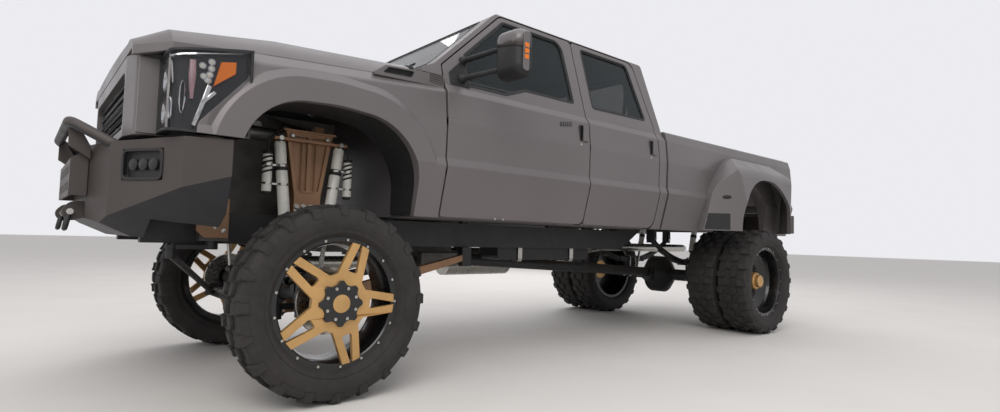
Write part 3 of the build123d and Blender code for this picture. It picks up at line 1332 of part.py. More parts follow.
write_sides("knuckle", knuckle())
write("steering_links", steering_links())
write("pitman_arm", pitman_arm())
write_sides("tyre_front", at_axle(tyre(FRONT_TYRE_OUTER), 0))
write_sides("wheel_front", at_axle(front_wheel(), 0))
inner_outer = REAR_TYRE_OUTER - TYRE_WIDTH - TWIN_SPACING
write_sides("tyres_rear", [at_axle(tyre(x), WHEELBASE) for x in (REAR_TYRE_OUTER, inner_outer)])
write_sides("wheels_rear", at_axle(rear_wheel(), WHEELBASE))
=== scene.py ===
import math

import bmesh
import bpy
from mathutils import Matrix, Vector


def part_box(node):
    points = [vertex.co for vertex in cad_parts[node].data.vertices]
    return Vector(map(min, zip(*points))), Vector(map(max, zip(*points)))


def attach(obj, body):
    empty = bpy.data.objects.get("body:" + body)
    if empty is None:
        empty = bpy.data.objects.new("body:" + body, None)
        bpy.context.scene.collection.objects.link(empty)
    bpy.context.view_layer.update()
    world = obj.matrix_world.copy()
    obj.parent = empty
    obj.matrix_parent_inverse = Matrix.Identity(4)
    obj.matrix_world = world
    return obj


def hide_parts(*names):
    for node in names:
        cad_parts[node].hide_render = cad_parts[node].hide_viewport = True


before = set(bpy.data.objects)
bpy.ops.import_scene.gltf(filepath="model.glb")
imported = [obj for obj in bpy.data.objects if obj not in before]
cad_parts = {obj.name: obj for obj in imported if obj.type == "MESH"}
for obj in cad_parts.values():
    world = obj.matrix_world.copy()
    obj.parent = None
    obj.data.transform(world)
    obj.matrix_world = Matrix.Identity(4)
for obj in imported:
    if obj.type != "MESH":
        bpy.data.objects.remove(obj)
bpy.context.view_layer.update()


# The frame is in metres: X to the truck's left, Y rearward, Z up. Most places are written in
# millimetres as (x, s, z), with the station s counted rearward from the front axle.
MM = 0.001
SIDES = (("left", 1), ("right", -1))
ACROSS, BACK, UP = Vector((1, 0, 0)), Vector((0, 1, 0)), Vector((0, 0, 1))


# Camera, as solved from the photo of 1000 x 412 pixels
CAMERA_PLACE = (3.814, -3.539, 0.863)
CAMERA_YAW = 40.27
CAMERA_PITCH = 3.23
CAMERA_ROLL = 1.61
CAMERA_FOCAL_PX = 568.8
PHOTO_WIDTH_PX = 1000
SENSOR_MM = 36.0


# Measures taken from the CAD nodes
front_low, front_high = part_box("tyre_front_left")
TYRE_WIDTH = front_high.x - front_low.x
FRONT_AXLE_Y = (front_low.y + front_high.y) / 2
REAR_AXLE = 4380
# half width of the body at rising heights
SIDE_FORM = ((977, 941), (1290, 1020), (1338, 1003), (1560, 1008), (1746, 990), (1795, 955), (2450, 765))
# lower station and height, upper station and height of the tilted panes
SCREEN_LINE = (610, 1921, 1230, 2462)
REAR_PANE_LINE = (2975, 1795, 2900, 2460)
# corners of the door windows as (station, height, radius)
DOOR_WINDOWS = {
    "front": ((858, 1818, 20), (858, 2041, 20), (1262, 2394, 60), (1860, 2394, 90), (1872, 1886, 30),
              (1370, 1886, 50), (1180, 1818, 50)),
    "rear": ((2078, 1886, 30), (2078, 2394, 30), (2680, 2394, 60), (2775, 1896, 30)),
}
HANDLE_STATIONS = {"front": 1860, "rear": 2740}
DOOR_SKIN = 1004.5
DASH_FACE = 880


# Materials
def linear(rgb):
    """Linear colour from 0-255 display values."""
    steps = [c / 255 for c in rgb]
    return [c / 12.92 if c <= 0.04045 else ((c + 0.055) / 1.055) ** 2.4 for c in steps] + [1.0]


def shade(rgb, factor):
    """A display colour made darker or lighter."""
    return [min(255, c * factor) for c in rgb]


# Materials by the name that they are asked for, as Blender may number its own names
MATERIAL = {}


class Nodes:
    """A new material and short ways to add its nodes."""

    def __init__(self, name):
        self.material = MATERIAL[name] = bpy.data.materials.new(name)
        self.material.use_nodes = True
        self.tree = self.material.node_tree
        self.tree.nodes.clear()
        self.output = self.add("ShaderNodeOutputMaterial")
        self.shader = self.add("ShaderNodeBsdfPrincipled")
        self.feed(self.output.inputs["Surface"], self.shader.outputs["BSDF"])
        self.place = self.add("ShaderNodeTexCoord").outputs["Object"]

    def add(self, kind, **settings):
        node = self.tree.nodes.new(kind)
        for key, value in settings.items():
            setattr(node, key, value)
        return node

    def feed(self, socket, value):
        """Links an output to a socket, or sets the socket's own value."""
        if isinstance(value, bpy.types.NodeSocket):
            self.tree.links.new(value, socket)
        else:
            socket.default_value = value

    def dress(self, **values):
        """Feeds the shader's sockets, named with _ for a space."""
        for name, value in values.items():
            self.feed(self.shader.inputs[name.replace("_", " ")], value)

    def noise(self, scale, detail=3.0):
        node = self.add("ShaderNodeTexNoise")
        for name, value in (("Scale", scale), ("Detail", detail), ("Roughness", 0.55),
                            ("Vector", self.place)):
            self.feed(node.inputs[name], value)
        return node.outputs["Fac"]

    def spread(self, value, low, high, start=0.3, end=0.7):
        """Output moved from the range start to end into the range low to high."""
        node = self.add("ShaderNodeMapRange")
        for name, number in (("From Min", start), ("From Max", end), ("To Min", low), ("To Max", high),
                             ("Value", value)):
            self.feed(node.inputs[name], number)
        return node.outputs["Result"]

    def mix(self, factor, first, second):
        """Colour mix; each colour is a display colour or an output."""
        node = self.add("ShaderNodeMix", data_type="RGBA")
        self.feed(node.inputs[0], factor)
        for socket, colour in ((node.inputs[6], first), (node.inputs[7], second)):
            self.feed(socket, linear(colour) if isinstance(colour, (tuple, list)) else colour)
        return node.outputs[2]

    def patches(self, scale, first, second):
        """Two colours in soft patches."""
        return self.mix(self.spread(self.noise(scale), 0.0, 1.0), first, second)

    def times(self, a, b):
        node = self.add("ShaderNodeMath", operation="MULTIPLY")
        self.feed(node.inputs[0], a)
        self.feed(node.inputs[1], b)
        return node.outputs[0]

    def looking_up(self):
        """How far a face looks up, from -1 to 1."""
        node = self.add("ShaderNodeSeparateXYZ")
        self.feed(node.inputs[0], self.add("ShaderNodeNewGeometry").outputs["Normal"])
        return node.outputs["Z"]

    def bump(self, height, distance, below=None):
        node = self.add("ShaderNodeBump")
        node.inputs["Distance"].default_value = distance
        self.feed(node.inputs["Height"], height)
        if below:
            self.feed(node.inputs["Normal"], below)
        return node.outputs["Normal"]

    def rounded(self, radius):
        node = self.add("ShaderNodeBevel", samples=4)
        node.inputs["Radius"].default_value = radius
        return node.outputs["Normal"]

DUST = (150, 136, 118)


def finish(name, colour, rough, metal=0.0, vary=0.1, patch=3.0, grain=300.0, grain_depth=0.00008,
           round_edges=0.0, dust=0.0, coat=0.0, specular=0.5, below=None):
    """Patchy colour, uneven gloss, surface grain, rounded edges and dust that settles.
    Below is a painted shade colour for faces that look down."""
    n = Nodes(name)
    colour = n.patches(patch, shade(colour, 1 - vary), shade(colour, 1 + vary))
    if dust:
        settled = n.spread(n.looking_up(), 0.0, dust, 0.2, 1.0)
        colour = n.mix(n.times(settled, n.spread(n.noise(patch * 5, 6.0), 0.3, 1.0)), colour, DUST)
    if below:
        # painted shade: faces that look down are mixed towards the darker below colour
        colour = n.mix(n.spread(n.looking_up(), 1.0, 0.0, -0.35, -0.1), colour, below)
    n.dress(
        Base_Color=colour,
        Roughness=n.spread(n.noise(patch * 4, 4.0), max(0.02, rough - 0.06), min(1.0, rough + 0.06)),
        Metallic=metal, Specular_IOR_Level=specular, Coat_Weight=coat, Coat_Roughness=0.08)
    smooth = n.rounded(round_edges) if round_edges else None
    n.dress(Normal=n.bump(n.noise(grain, 2.0), grain_depth, smooth))
    return n.material


def tread_rubber():
    """Tyre rubber in patchy worn tones on the blocks, with painted shade dark in the grooves between them.
    """
    n = Nodes("tyre_rubber")
    # painted shade: ambient occlusion mixes the rubber towards near black in the grooves
    groove_shade_ao = n.add("ShaderNodeAmbientOcclusion", samples=6)
    groove_shade_ao.inputs["Distance"].default_value = 0.03
    unshaded_share = n.spread(groove_shade_ao.outputs["AO"], 0.0, 1.0, 0.35, 0.85)
    worn = n.patches(7.0, (33, 31, 30), (46, 43, 41))
    n.dress(Base_Color=n.mix(unshaded_share, (9, 9, 9), worn),
            Roughness=n.spread(n.noise(26.0, 4.0), 0.74, 0.88),
            Normal=n.bump(n.noise(480.0, 2.0), 0.0002))
    return n.material


def glass(name, tint, rough=0.0, clear=0.0, cover=1.0):
    """Tinted glass or lens with faint streaks in its gloss; clear is its transmission, cover its alpha."""
    n = Nodes(name)
    n.dress(Base_Color=n.patches(2.0, shade(tint, 0.94), shade(tint, 1.04)),
            Roughness=n.spread(n.noise(14.0), rough, rough + 0.03),
            Transmission_Weight=clear, IOR=1.45, Alpha=cover, Specular_IOR_Level=0.35)
    return n.material

finish("body_paint", (108, 103, 103), 0.37, metal=0.25, vary=0.035, patch=0.9, grain=900,
       grain_depth=0.00003, round_edges=0.006, specular=0.45)
finish("lamp_dark", (30, 30, 32), 0.35, patch=6.0, grain=500, grain_depth=0.00005)
finish("bed_liner", (52, 50, 50), 0.7, patch=4.0, grain=260, grain_depth=0.0006, round_edges=0.003,
       dust=0.25)
finish("mirror_glass", (126, 134, 140), 0.07, metal=1.0, vary=0.02, patch=6.0, grain=400,
       grain_depth=0.00001)
finish("lamp_rose", (176, 142, 148), 0.3, vary=0.05, patch=20.0, grain=900, grain_depth=0.00005, coat=0.5)
finish("lamp_pale", (206, 202, 198), 0.2, vary=0.04, patch=20.0, grain=900, grain_depth=0.00005, coat=0.6)
# the bumper's below colour is painted shade on its faces that look down
finish("bumper_paint", (68, 61, 58), 0.52, metal=0.15, vary=0.06, patch=2.0, grain=700,
       grain_depth=0.00012, round_edges=0.005, below=(34, 34, 38))
finish("frame_black", (26, 26, 27), 0.5, vary=0.2, patch=4.0, grain=420, grain_depth=0.0001,
       round_edges=0.004, dust=0.35)
finish("bronze", (140, 106, 78), 0.42, metal=0.35, vary=0.08, patch=5.0, round_edges=0.004)
finish("black_plastic", (25, 25, 26), 0.6, vary=0.12, patch=6.0, grain=600, grain_depth=0.0002,
       round_edges=0.004)
tread_rubber()
finish("wheel_gold", (192, 152, 98), 0.34, metal=0.5, vary=0.05, patch=8.0, grain=800, grain_depth=0.00003)
finish("wheel_black", (17, 17, 18), 0.3, metal=0.2, vary=0.15, patch=6.0, grain=700,
       grain_depth=0.00003, coat=0.4, round_edges=0.002)
finish("cast_metal", (92, 90, 86), 0.6, metal=0.7, vary=0.15, patch=8.0, grain=250,
       grain_depth=0.0004, round_edges=0.003, dust=0.3)
finish("white_paint", (222, 220, 212), 0.3, vary=0.03, patch=8.0, grain=500, grain_depth=0.00003, coat=0.3)
finish("bare_steel", (176, 174, 168), 0.28, metal=1.0, vary=0.06, patch=10.0, grain=600,
       grain_depth=0.00004)
finish("chrome", (225, 226, 228), 0.08, metal=1.0, vary=0.02, patch=10.0, grain=400, grain_depth=0.00001)
finish("cabin_leather", (58, 54, 51), 0.6, vary=0.08, patch=7.0, grain=420, grain_depth=0.0004)
finish("dash_plastic", (46, 44, 43), 0.62, vary=0.06, patch=7.0, grain=700, grain_depth=0.0002,
       round_edges=0.004)
finish("aluminium_core", (128, 128, 126), 0.45, metal=0.9, patch=9.0, grain_depth=0.0003)
glass("tinted_glass", (28, 38, 40), cover=0.55)
glass("lamp_lens", (60, 62, 66), cover=0.16)
glass("red_lens", (190, 18, 14), rough=0.08, clear=0.35)
glass("amber_lens", (250, 132, 36), rough=0.08, clear=0.1)


# Finish of each CAD node; those that a piece replaces keep theirs for the plain view
NODE_FINISH = {
    "body_paint": ("cab_shell", "hood_panel", "front_fenders", "nose_panel", "bed_box", "dually_fenders",
                   "tailgate_panel", "door_panel_front_left", "door_panel_front_right",
                   "door_panel_rear_left",
                   "door_panel_rear_right"),
    "bumper_paint": ("front_bumper", "bull_bar", "rear_bumper"),
    "frame_black": ("chassis_frame", "drive_shafts", "front_axle", "rear_axle", "springs", "fuel_tank",
                    "hinge_straps", "knuckle_left", "knuckle_right", "steering_links", "pitman_arm"),
    "bronze": ("spring_towers", "radius_arms"),
    "black_plastic": ("wheel_liners", "grille", "side_mirror_left", "side_mirror_right"),
    "cast_metal": ("engine_block", "steering_box"),
    "bare_steel": ("exhaust_pipe",),
    "white_paint": ("shock_absorbers",),
    "aluminium_core": ("radiator",),
    "tinted_glass": ("cab_glass", "door_glass_front_left", "door_glass_front_right", "door_glass_rear_left",
                     "door_glass_rear_right"),
    "lamp_dark": ("head_lamps",),
    "red_lens": ("tail_lamps",),
    "cabin_leather": ("seat_set", "steering_wheel"),
    "dash_plastic": ("dashboard",),
    "tyre_rubber": ("tyre_front_left", "tyre_front_right", "tyres_rear_left", "tyres_rear_right"),
    "wheel_black": ("wheel_front_left", "wheel_front_right", "wheels_rear_left", "wheels_rear_right"),
}


def dress_nodes():
    """Gives every CAD node its finish, with smooth shading inside each of its faces."""
    for finish_name, names in NODE_FINISH.items():
        for name in names:
            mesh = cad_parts[name].data
            mesh.materials.clear()
            mesh.materials.append(MATERIAL[finish_name])
            mesh.polygons.foreach_set("use_smooth", [True] * len(mesh.polygons))


# Objects and pieces
def new_object(name, data):
    """Object in the scene that shows some data."""
    obj = bpy.data.objects.new(name, data)
    bpy.context.scene.collection.objects.link(obj)
    return obj


def from_bmesh(name, bm):
    """New object from a bmesh."""
    bmesh.ops.recalc_face_normals(bm, faces=bm.faces)
    mesh = bpy.data.meshes.new(name)
    bm.to_mesh(mesh)
    bm.free()
    return new_object(name, mesh)


def settle(obj, material, body="root", replaces=(), slot=None, sharp=32.0, bevel=0.0, segments=2):
    """Material, shading, edge rounding and the body that a new piece rides on."""
    obj.data.materials.clear()
    obj.data.materials.append(MATERIAL[material])
    obj.data.shade_smooth()
    obj.data.set_sharp_from_angle(angle=math.radians(sharp))
    if bevel:
        rounding = obj.modifiers.new("edges", "BEVEL")
        rounding.width = bevel
        rounding.segments = segments
        rounding.limit_method = "ANGLE"
        rounding.angle_limit = math.radians(sharp)
        rounding.harden_normals = True
    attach(obj, body)
    if replaces:
        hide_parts(*replaces)
    return obj


def add(name, bm, material, body="root", **look):
    """New piece from a bmesh, settled on its body."""
    return settle(from_bmesh(name, bm), material, body, **look)


def from_curve(name, kind, runs, look, way, matrix=Matrix()):
    """New object with a curve's mesh; look is set on the curve and way on each of its splines."""
    curve = bpy.data.curves.new(name, "CURVE")
    for key, value in look.items():
        setattr(curve, key, value)
    for run in runs:
        spline = curve.splines.new(kind)
        spline.points.add(len(run) - 1)
        for point, place in zip(spline.points, run):
            point.co = (*place, 1.0)
        for key, value in way.items():
            setattr(spline, key, value)
    source = bpy.data.objects.new(name, curve)
    mesh = bpy.data.meshes.new_from_object(source)
    bpy.data.objects.remove(source)
    mesh.transform(matrix)
    return new_object(name, mesh)


def tube_along(name, points, radius, resolution, order=3):
    """Smooth round tube through control points."""
    return from_curve(
        name, "NURBS", [points],
        dict(dimensions="3D", bevel_depth=radius, bevel_resolution=3, use_fill_caps=True),
        dict(order_u=order, use_endpoint_u=True, use_cyclic_u=False, resolution_u=resolution))


def hose(name, points, radius, material="bare_steel", resolution=10):
    """Tube along control points as a piece of the root body."""
    settle(tube_along(name, points, radius, resolution), material, sharp=60)


def plate(name, loops, thickness, edge, matrix):
    """Flat plate with holes from 2-D loops, its edges rounded, placed by a matrix."""
    return from_curve(
        name, "POLY", [[(u, v, 0.0) for u, v in loop] for loop in loops],
        dict(dimensions="2D", fill_mode="BOTH", extrude=thickness / 2 - edge, bevel_depth=edge,
             bevel_resolution=1, offset=-edge),
        dict(use_cyclic_u=True), matrix)


# Loops of points
def turns(count):
    """Angles of a full turn in equal steps."""
    return [2 * math.pi * i / count for i in range(count)]


def circle(radius, steps=48, centre=(0.0, 0.0)):
    """Points round a circle."""
    return [(centre[0] + radius * math.cos(a), centre[1] + radius * math.sin(a)) for a in turns(steps)]


def rounded_rows(rows, steps=5):
    """Loop of points from rows of (u, v, corner radius)."""
    points = []
    for i, (u, v, radius) in enumerate(rows):
        corner = Vector((u, v))
        before = Vector(rows[i - 1][:2]) - corner
        after = Vector(rows[(i + 1) % len(rows)][:2]) - corner
        if radius <= 0:
            points.append(corner)
            continue
        half = before.angle(after) / 2
        reach = min(radius / math.tan(half), before.length * 0.49, after.length * 0.49)
        start, end = before.normalized() * reach, after.normalized() * reach
        centre = (start + end).normalized() * (reach / math.cos(half))
        size = reach * math.tan(half)
        for k in range(steps + 1):
            spoke = (start - centre).lerp(end - centre, k / steps).normalized() * size
            points.append(corner + centre + spoke)
    return points


def oblong(u0, u1, v0, v1, radius, steps=5):
    """Upright rectangle with rounded corners."""
    return rounded_rows(((u0, v0, radius), (u0, v1, radius), (u1, v1, radius), (u1, v0, radius)), steps)


def flipped(side, loop):
    """Loop moved to the other side of the truck where side is -1."""
    return [Vector((side * p.x, p.y)) for p in loop]


def dense(loop, longest):
    """Closed loop with points added on its long edges."""
    points = []
    for a, b in zip(loop, loop[1:] + loop[:1]):
        steps = max(1, int((b - a).length / longest))
        points += [a.lerp(b, k / steps) for k in range(steps)]
    return points


def inset(points, distance):
    """Loop moved inward by a distance."""
    area = sum(a.x * b.y - b.x * a.y for a, b in zip(points, points[1:] + points[:1]))
    turn = 1 if area > 0 else -1
    moved = []
    for i, point in enumerate(points):
        before = (point - points[i - 1]).normalized()
        after = (points[(i + 1) % len(points)] - point).normalized()
        normal = Vector((-before.y - after.y, before.x + after.x)).normalized() * turn
        moved.append(point + normal * distance / max(0.5, math.sqrt((1 + before.dot(after)) / 2)))
    return moved


def ribbon(point, wide, thick):
    """Four corners of a flat cross-section round a point."""
    return [point - wide - thick, point + wide - thick, point + wide + thick, point - wide + thick]


def helix(centre, radius, low, high, turn_count):
    """Control points of an upright coil, in metres."""
    per_turn = 12
    count = turn_count * per_turn
    return [centre + Vector((radius * math.cos(2 * math.pi * i / per_turn),
                             radius * math.sin(2 * math.pi * i / per_turn), low + (high - low) * i / count))
            for i in range(count + 1)]


# Places on the truck, from millimetres
def at(x, s, z):
    """Point in metres from millimetres."""
    return Vector((x * MM, FRONT_AXLE_Y + s * MM, z * MM))


def side_x(z):
    """Half width of the body's side at a height."""
    for (z0, x0), (z1, x1) in zip(SIDE_FORM, SIDE_FORM[1:]):
        if z <= z1:
            return x0 + (x1 - x0) * (z - z0) / (z1 - z0)
    return SIDE_FORM[-1][1]


def on_side(side):
    """Place on the body's side from station, height and lift off the surface."""
    return lambda s, z, lift: at(side * (side_x(z) + lift), s, z)


def on_pane(line, outward):
    """Place on a tilted pane across the cab from x, height and lift."""
    s0, z0, s1, z1 = line
    run = Vector((s1 - s0, z1 - z0)).normalized()
    normal = Vector((-run.y, run.x)) * outward

    def place(x, z, lift):
        s = s0 + (z - z0) * (s1 - s0) / (z1 - z0)
        return at(x, s + normal.x * lift, z + normal.y * lift)
    return place


def flat_at(x):
    """Place on an upright plane along the truck from station, height and lift."""
    side = 1 if x > 0 else -1
    return lambda s, z, lift: at(x + side * lift, s, z)


def facing_back(s):
    """Place on an upright plane across the truck, lifted rearward."""
    return lambda x, z, lift: at(x, s + lift, z)


def landing(node, origin, direction):
    """Where a ray first meets a CAD node, and the surface's normal there."""
    hit, place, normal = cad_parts[node].ray_cast(origin, direction)[:3]
    return (place, normal) if hit else (origin, -direction)


def on_axis(x, radius, angle, axle):
    """Point beside an axle that runs along X; angle 0 is up and grows rearward."""
    return Vector((x, axle.y + radius * math.sin(angle), axle.z + radius * math.cos(angle)))


# Solids in a bmesh
def skin(bm, rows, around=True, closed=False, caps=False):
    """Faces between rows of points that have the same number each."""
    loops = [[bm.verts.new(p) for p in row] for row in rows]
    pairs = list(zip(loops, loops[1:]))
    if closed:
        pairs.append((loops[-1], loops[0]))
    for a, b in pairs:
        for i in range(len(a) if around else len(a) - 1):
            j = (i + 1) % len(a)
            bm.faces.new((a[i], a[j], b[j], b[i]))
    if caps:
        bm.faces.new(loops[0])
        bm.faces.new(loops[-1][::-1])
    return loops


def block(bm, low, high):
    """Box between two corners in metres."""
    low, high = Vector(low), Vector(high)
    matrix = Matrix.Translation((low + high) / 2) @ Matrix.Diagonal((*(high - low), 1.0))
    bmesh.ops.create_cube(bm, size=1.0, matrix=matrix)


def slab(bm, x0, x1, s0, s1, z0, z1):
    """Box between two corners given in millimetres."""
    block(bm, at(x0, s0, z0), at(x1, s1, z1))


def rod(bm, a, b, radius, sides, radius_end=None):
    """Closed round bar between two points, its radius in metres."""
    run = b - a
    matrix = Matrix.Translation((a + b) / 2) @ run.to_track_quat("Z", "Y").to_matrix().to_4x4()
    bmesh.ops.create_cone(bm, cap_ends=True, segments=sides, radius1=radius,
                          radius2=radius if radius_end is None else radius_end, depth=run.length,
                          matrix=matrix)


def lathe(bm, profile, axle, steps=96, closed=True):
    """Turned surface about an axle, from rows of (x, radius) in metres."""
    rows = [[on_axis(x, radius, a, axle) for a in turns(steps)] for x, radius in profile]
    return skin(bm, rows, closed=closed)


def turned(bm, x, side, rows, axle, steps=64, closed=False, caps=()):
    """Turned surface from rows of (distance outward from x, radius) in millimetres."""
    rings = lathe(bm, [(x + side * (d * MM), radius * MM) for d, radius in rows], axle, steps, closed)
    for k in caps:
        bm.faces.new(rings[k])


def spindle(bm, start, axis, rows, sides):
    """Piece turned about any axis from rows of (distance along it, radius) in millimetres."""
    axis = axis.normalized()
    u = axis.orthogonal().normalized()
    v = axis.cross(u)
    skin(bm, [[start + axis * (distance * MM) + (u * math.cos(a) + v * math.sin(a)) * max(radius * MM, 1e-5)
               for a in turns(sides)] for distance, radius in rows], caps=True)


def oval(bm, centre, normal, u, v, rows, sides):
    """Lens form on a surface, from rows of (lift in metres, share of its half axes u and v)."""
    skin(bm, [[centre + normal * lift + (u * math.cos(a) + v * math.sin(a)) * share for a in turns(sides)]
              for lift, share in rows], caps=True)


def frame_band(bm, loop, width, place, low, high, outward=0.0):
    """Band along a closed loop on a surface, width inward, between two lifts."""
    outer, inner = inset(loop, -outward), inset(loop, width)
    rows = [[place(u, v, lift) for u, v in ring] for ring, lift in (
        (outer, low), (outer, high), (inner, high), (inner, low))]
    skin(bm, rows, closed=True)


def pad(bm, loop, place, low, high, shrink=0.0):
    """Plate with a loop's outline on a surface, its top a little smaller."""
    rows = [[place(u, v, lift) for u, v in ring] for ring, lift in (
        (loop, low), (loop, high - shrink), (inset(loop, shrink) if shrink else loop, high))]
    skin(bm, rows if shrink else rows[:2], caps=True)


def prism(bm, loop, run):
    """Solid from a closed loop of points moved along a run."""
    skin(bm, [loop, [p + run for p in loop]], caps=True)


def across_solid(bm, rows, x0, x1):
    """Side outline of (station, height, radius) extruded across, in millimetres."""
    prism(bm, [at(x0, p.x, p.y) for p in rounded_rows(rows, 4)], ACROSS * ((x1 - x0) * MM))


def along_solid(bm, rows, s0, s1):
    """Cross-section of (x, height, radius) extruded along the truck, in millimetres."""
    prism(bm, [at(p.x, s0, p.y) for p in rounded_rows(rows, 4)], BACK * ((s1 - s0) * MM))


# Tyres
LUG_COUNT = 20
# half profile of the carcass, as (distance from the tyre's middle, radius)
CARCASS = (
    (0.104, 0.331), (0.112, 0.341), (0.124, 0.348), (0.136, 0.360), (0.140, 0.374), (0.138, 0.377),
    (0.145, 0.392), (0.149, 0.412), (0.149, 0.430), (0.146, 0.447), (0.1445, 0.448), (0.142, 0.464),
    (0.135, 0.478), (0.122, 0.487), (0.090, 0.489), (0.045, 0.490), (0.0, 0.490),
)
# inner edges of the beads, as (half distance between them, radius)
BEAD = (0.098, 0.322)
# outlines of the tread blocks, rows of (along the tread, from the middle)
SHOULDER_LONG = ((-0.028, 0.066), (-0.012, 0.060), (0.024, 0.066), (0.028, 0.100), (0.026, 0.128),
                 (0.024, 0.1455),
                 (-0.024, 0.1455), (-0.027, 0.128), (-0.032, 0.100))
SHOULDER_SHORT = ((-0.026, 0.074), (0.010, 0.066), (0.026, 0.074), (0.030, 0.100), (0.027, 0.128),
                  (0.022, 0.142),
                  (-0.022, 0.142), (-0.026, 0.128), (-0.030, 0.100))
CENTRE_BLOCK = ((-0.034, 0.008), (0.012, 0.004), (0.034, 0.018), (0.030, 0.034), (0.038, 0.050),
                (0.008, 0.058),
                (-0.022, 0.050), (-0.030, 0.030))
# bars under the shoulder lugs, rows of (radius, distance from the middle)
SIDE_BITER = ((0.4475, 0.1450), (0.462, 0.1435), (0.476, 0.1380))


def tread_radius(u, radius):
    """Outer radius of the lugs at a distance u from the tyre's middle."""
    out = max(0.0, abs(u) - 0.112) / 0.036
    return radius - 0.002 * (u / 0.15) ** 2 - 0.016 * out ** 1.6


def floor_radius(u):
    """Radius of the carcass under the lugs."""
    rows = [(a, r) for a, r in CARCASS if r > 0.44]
    for (a0, r0), (a1, r1) in zip(rows, rows[1:]):
        if a1 <= abs(u) <= a0:
            return r1 + (r0 - r1) * (abs(u) - a1) / (a0 - a1)
    return rows[-1][1]


def lug(bm, middle, side, axle, angle, outline, radius):
    """One tread block: outline rows are (distance along the tread, distance from the middle)."""
    cu = sum(u for t, u in outline) / len(outline)
    ct = sum(t for t, u in outline) / len(outline)
    rows = []
    for grow, level in ((1.10, 0.0), (1.0, 0.86), (0.93, 1.0)):
        row = []
        for t, u in outline:
            gu = cu + (u - cu) * (1.0 if level == 0.0 and abs(u) > 0.14 else grow)
            base = floor_radius(u) - 0.004
            r = base + (tread_radius(u, radius) - base) * level
            row.append(on_axis(middle + side * gu, r, angle + (ct + (t - ct) * grow) / radius, axle))
        rows.append(row)
    bm.faces.new(skin(bm, rows)[-1])


def biter(bm, middle, side, axle, angle, half_width):
    """Raised bar on the sidewall under a shoulder lug."""
    outer, inner = [], []
    for r, u in SIDE_BITER:
        for loop, du in ((outer, 0.0035), (inner, -0.004)):
            loop.append([bm.verts.new(on_axis(middle + side * (u + du), r, angle + turn * half_width, axle))
                         for turn in (-1, 1)])
    for a, b in zip(outer, outer[1:]):
        bm.faces.new((a[0], a[1], b[1], b[0]))
    for end in (0, 1):
        for k in range(len(SIDE_BITER) - 1):
            bm.faces.new((outer[k][end], outer[k + 1][end], inner[k + 1][end], inner[k][end]))
    for k in (0, len(SIDE_BITER) - 1):
        bm.faces.new((outer[k][0], outer[k][1], inner[k][1], inner[k][0]))


def tyre(bm, middle, axle, radius):
    """One mud tyre about an axle, its middle plane at x = middle."""
    profile = [(middle + a, r) for a, r in CARCASS] + [(middle - a, r) for a, r in reversed(CARCASS[:-1])]
    profile += [(middle - BEAD[0], BEAD[1]), (middle + BEAD[0], BEAD[1])]
    lathe(bm, profile, axle, steps=120)
    pitch = 2 * math.pi / LUG_COUNT
    for i in range(LUG_COUNT):
        for side, shift in ((1, 0.0), (-1, 0.5)):
            angle = (i + shift) * pitch
            lug(bm, middle, side, axle, angle, SHOULDER_LONG if i % 2 else SHOULDER_SHORT, radius)
            lug(bm, middle, side, axle, angle + 0.5 * pitch, CENTRE_BLOCK, radius)
            biter(bm, middle, side, axle, angle, pitch * (0.17 if i % 2 else 0.11))


def tyre_place(node, side):
    """Middle and radius of a tyre node, and the x of its outer and inner faces."""
    low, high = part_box(node)
    outer, inner = (high.x, low.x) if side > 0 else (low.x, high.x)
    return (low + high) / 2, (high.z - low.z) / 2, outer, inner


def build_tyres():
    """Front tyres, and the rear twins as one piece a side."""
    for name, side in SIDES:
        for node, body in ((f"tyre_front_{name}", f"wheel_front_{name}"),
                           (f"tyres_rear_{name}", f"wheel_rear_{name}")):
            axle, radius, outer, inner = tyre_place(node, side)
            bm = bmesh.new()
            tyre(bm, outer - side * TYRE_WIDTH / 2, axle, radius)
            if "rear" in node:
                tyre(bm, inner + side * TYRE_WIDTH / 2, axle, radius)
            add(f"mud_{node}", bm, "tyre_rubber", body, replaces=(node,), sharp=28)


# Wheels
SPOKE_PAIRS = 5
SPOKE_TURN = math.radians(21)
SPOKE_REACH = 0.318
SPOKE_DISH = 0.030
# one pair's outline, rows of (distance beside the pair's middle, distance from the hub centre)
SPOKE_PAIR = ((-0.072, 0.135), (-0.050, 0.313), (-0.006, SPOKE_REACH), (-0.026, 0.178), (-0.019, 0.167),
              (0.019, 0.167), (0.026, 0.178), (0.006, SPOKE_REACH), (0.050, 0.313), (0.072, 0.135))
HUB_BORE = 0.060
RIM_BOLTS = 17
HUB_BOLTS = 8
LIP_RADIUS = 0.336
BARREL_RADIUS = 0.300
LIP_INSET = 0.042
INNER_LIP_INSET = 0.035


def barrel(bm, lip_x, inner_x, axle):
    """Rim barrel from its outer lip at lip_x to its inner lip at inner_x."""
    out = 1 if lip_x > inner_x else -1
    lathe(bm, [
        (lip_x - out * 0.004, LIP_RADIUS + 0.006), (lip_x, LIP_RADIUS + 0.002), (lip_x, LIP_RADIUS - 0.022),
        (lip_x - out * 0.006, LIP_RADIUS - 0.029), (lip_x - out * 0.030, BARREL_RADIUS),
        (lip_x - out * 0.060, BARREL_RADIUS - 0.004), (inner_x + out * 0.020, BARREL_RADIUS - 0.004),
        (inner_x, BARREL_RADIUS + 0.006), (inner_x, LIP_RADIUS), (inner_x + out * 0.010, LIP_RADIUS),
        (inner_x + out * 0.014, LIP_RADIUS - 0.008), (lip_x - out * 0.014, LIP_RADIUS - 0.008),
    ], axle)


def wheel_plane(x, axle, side):
    """Matrix that puts a flat wheel drawing at x: its first axis rearward, its second up."""
    return Matrix(((0, 0, side, x), (1, 0, 0, axle.y), (0, 1, 0, axle.z), (0, 0, 0, 1)))


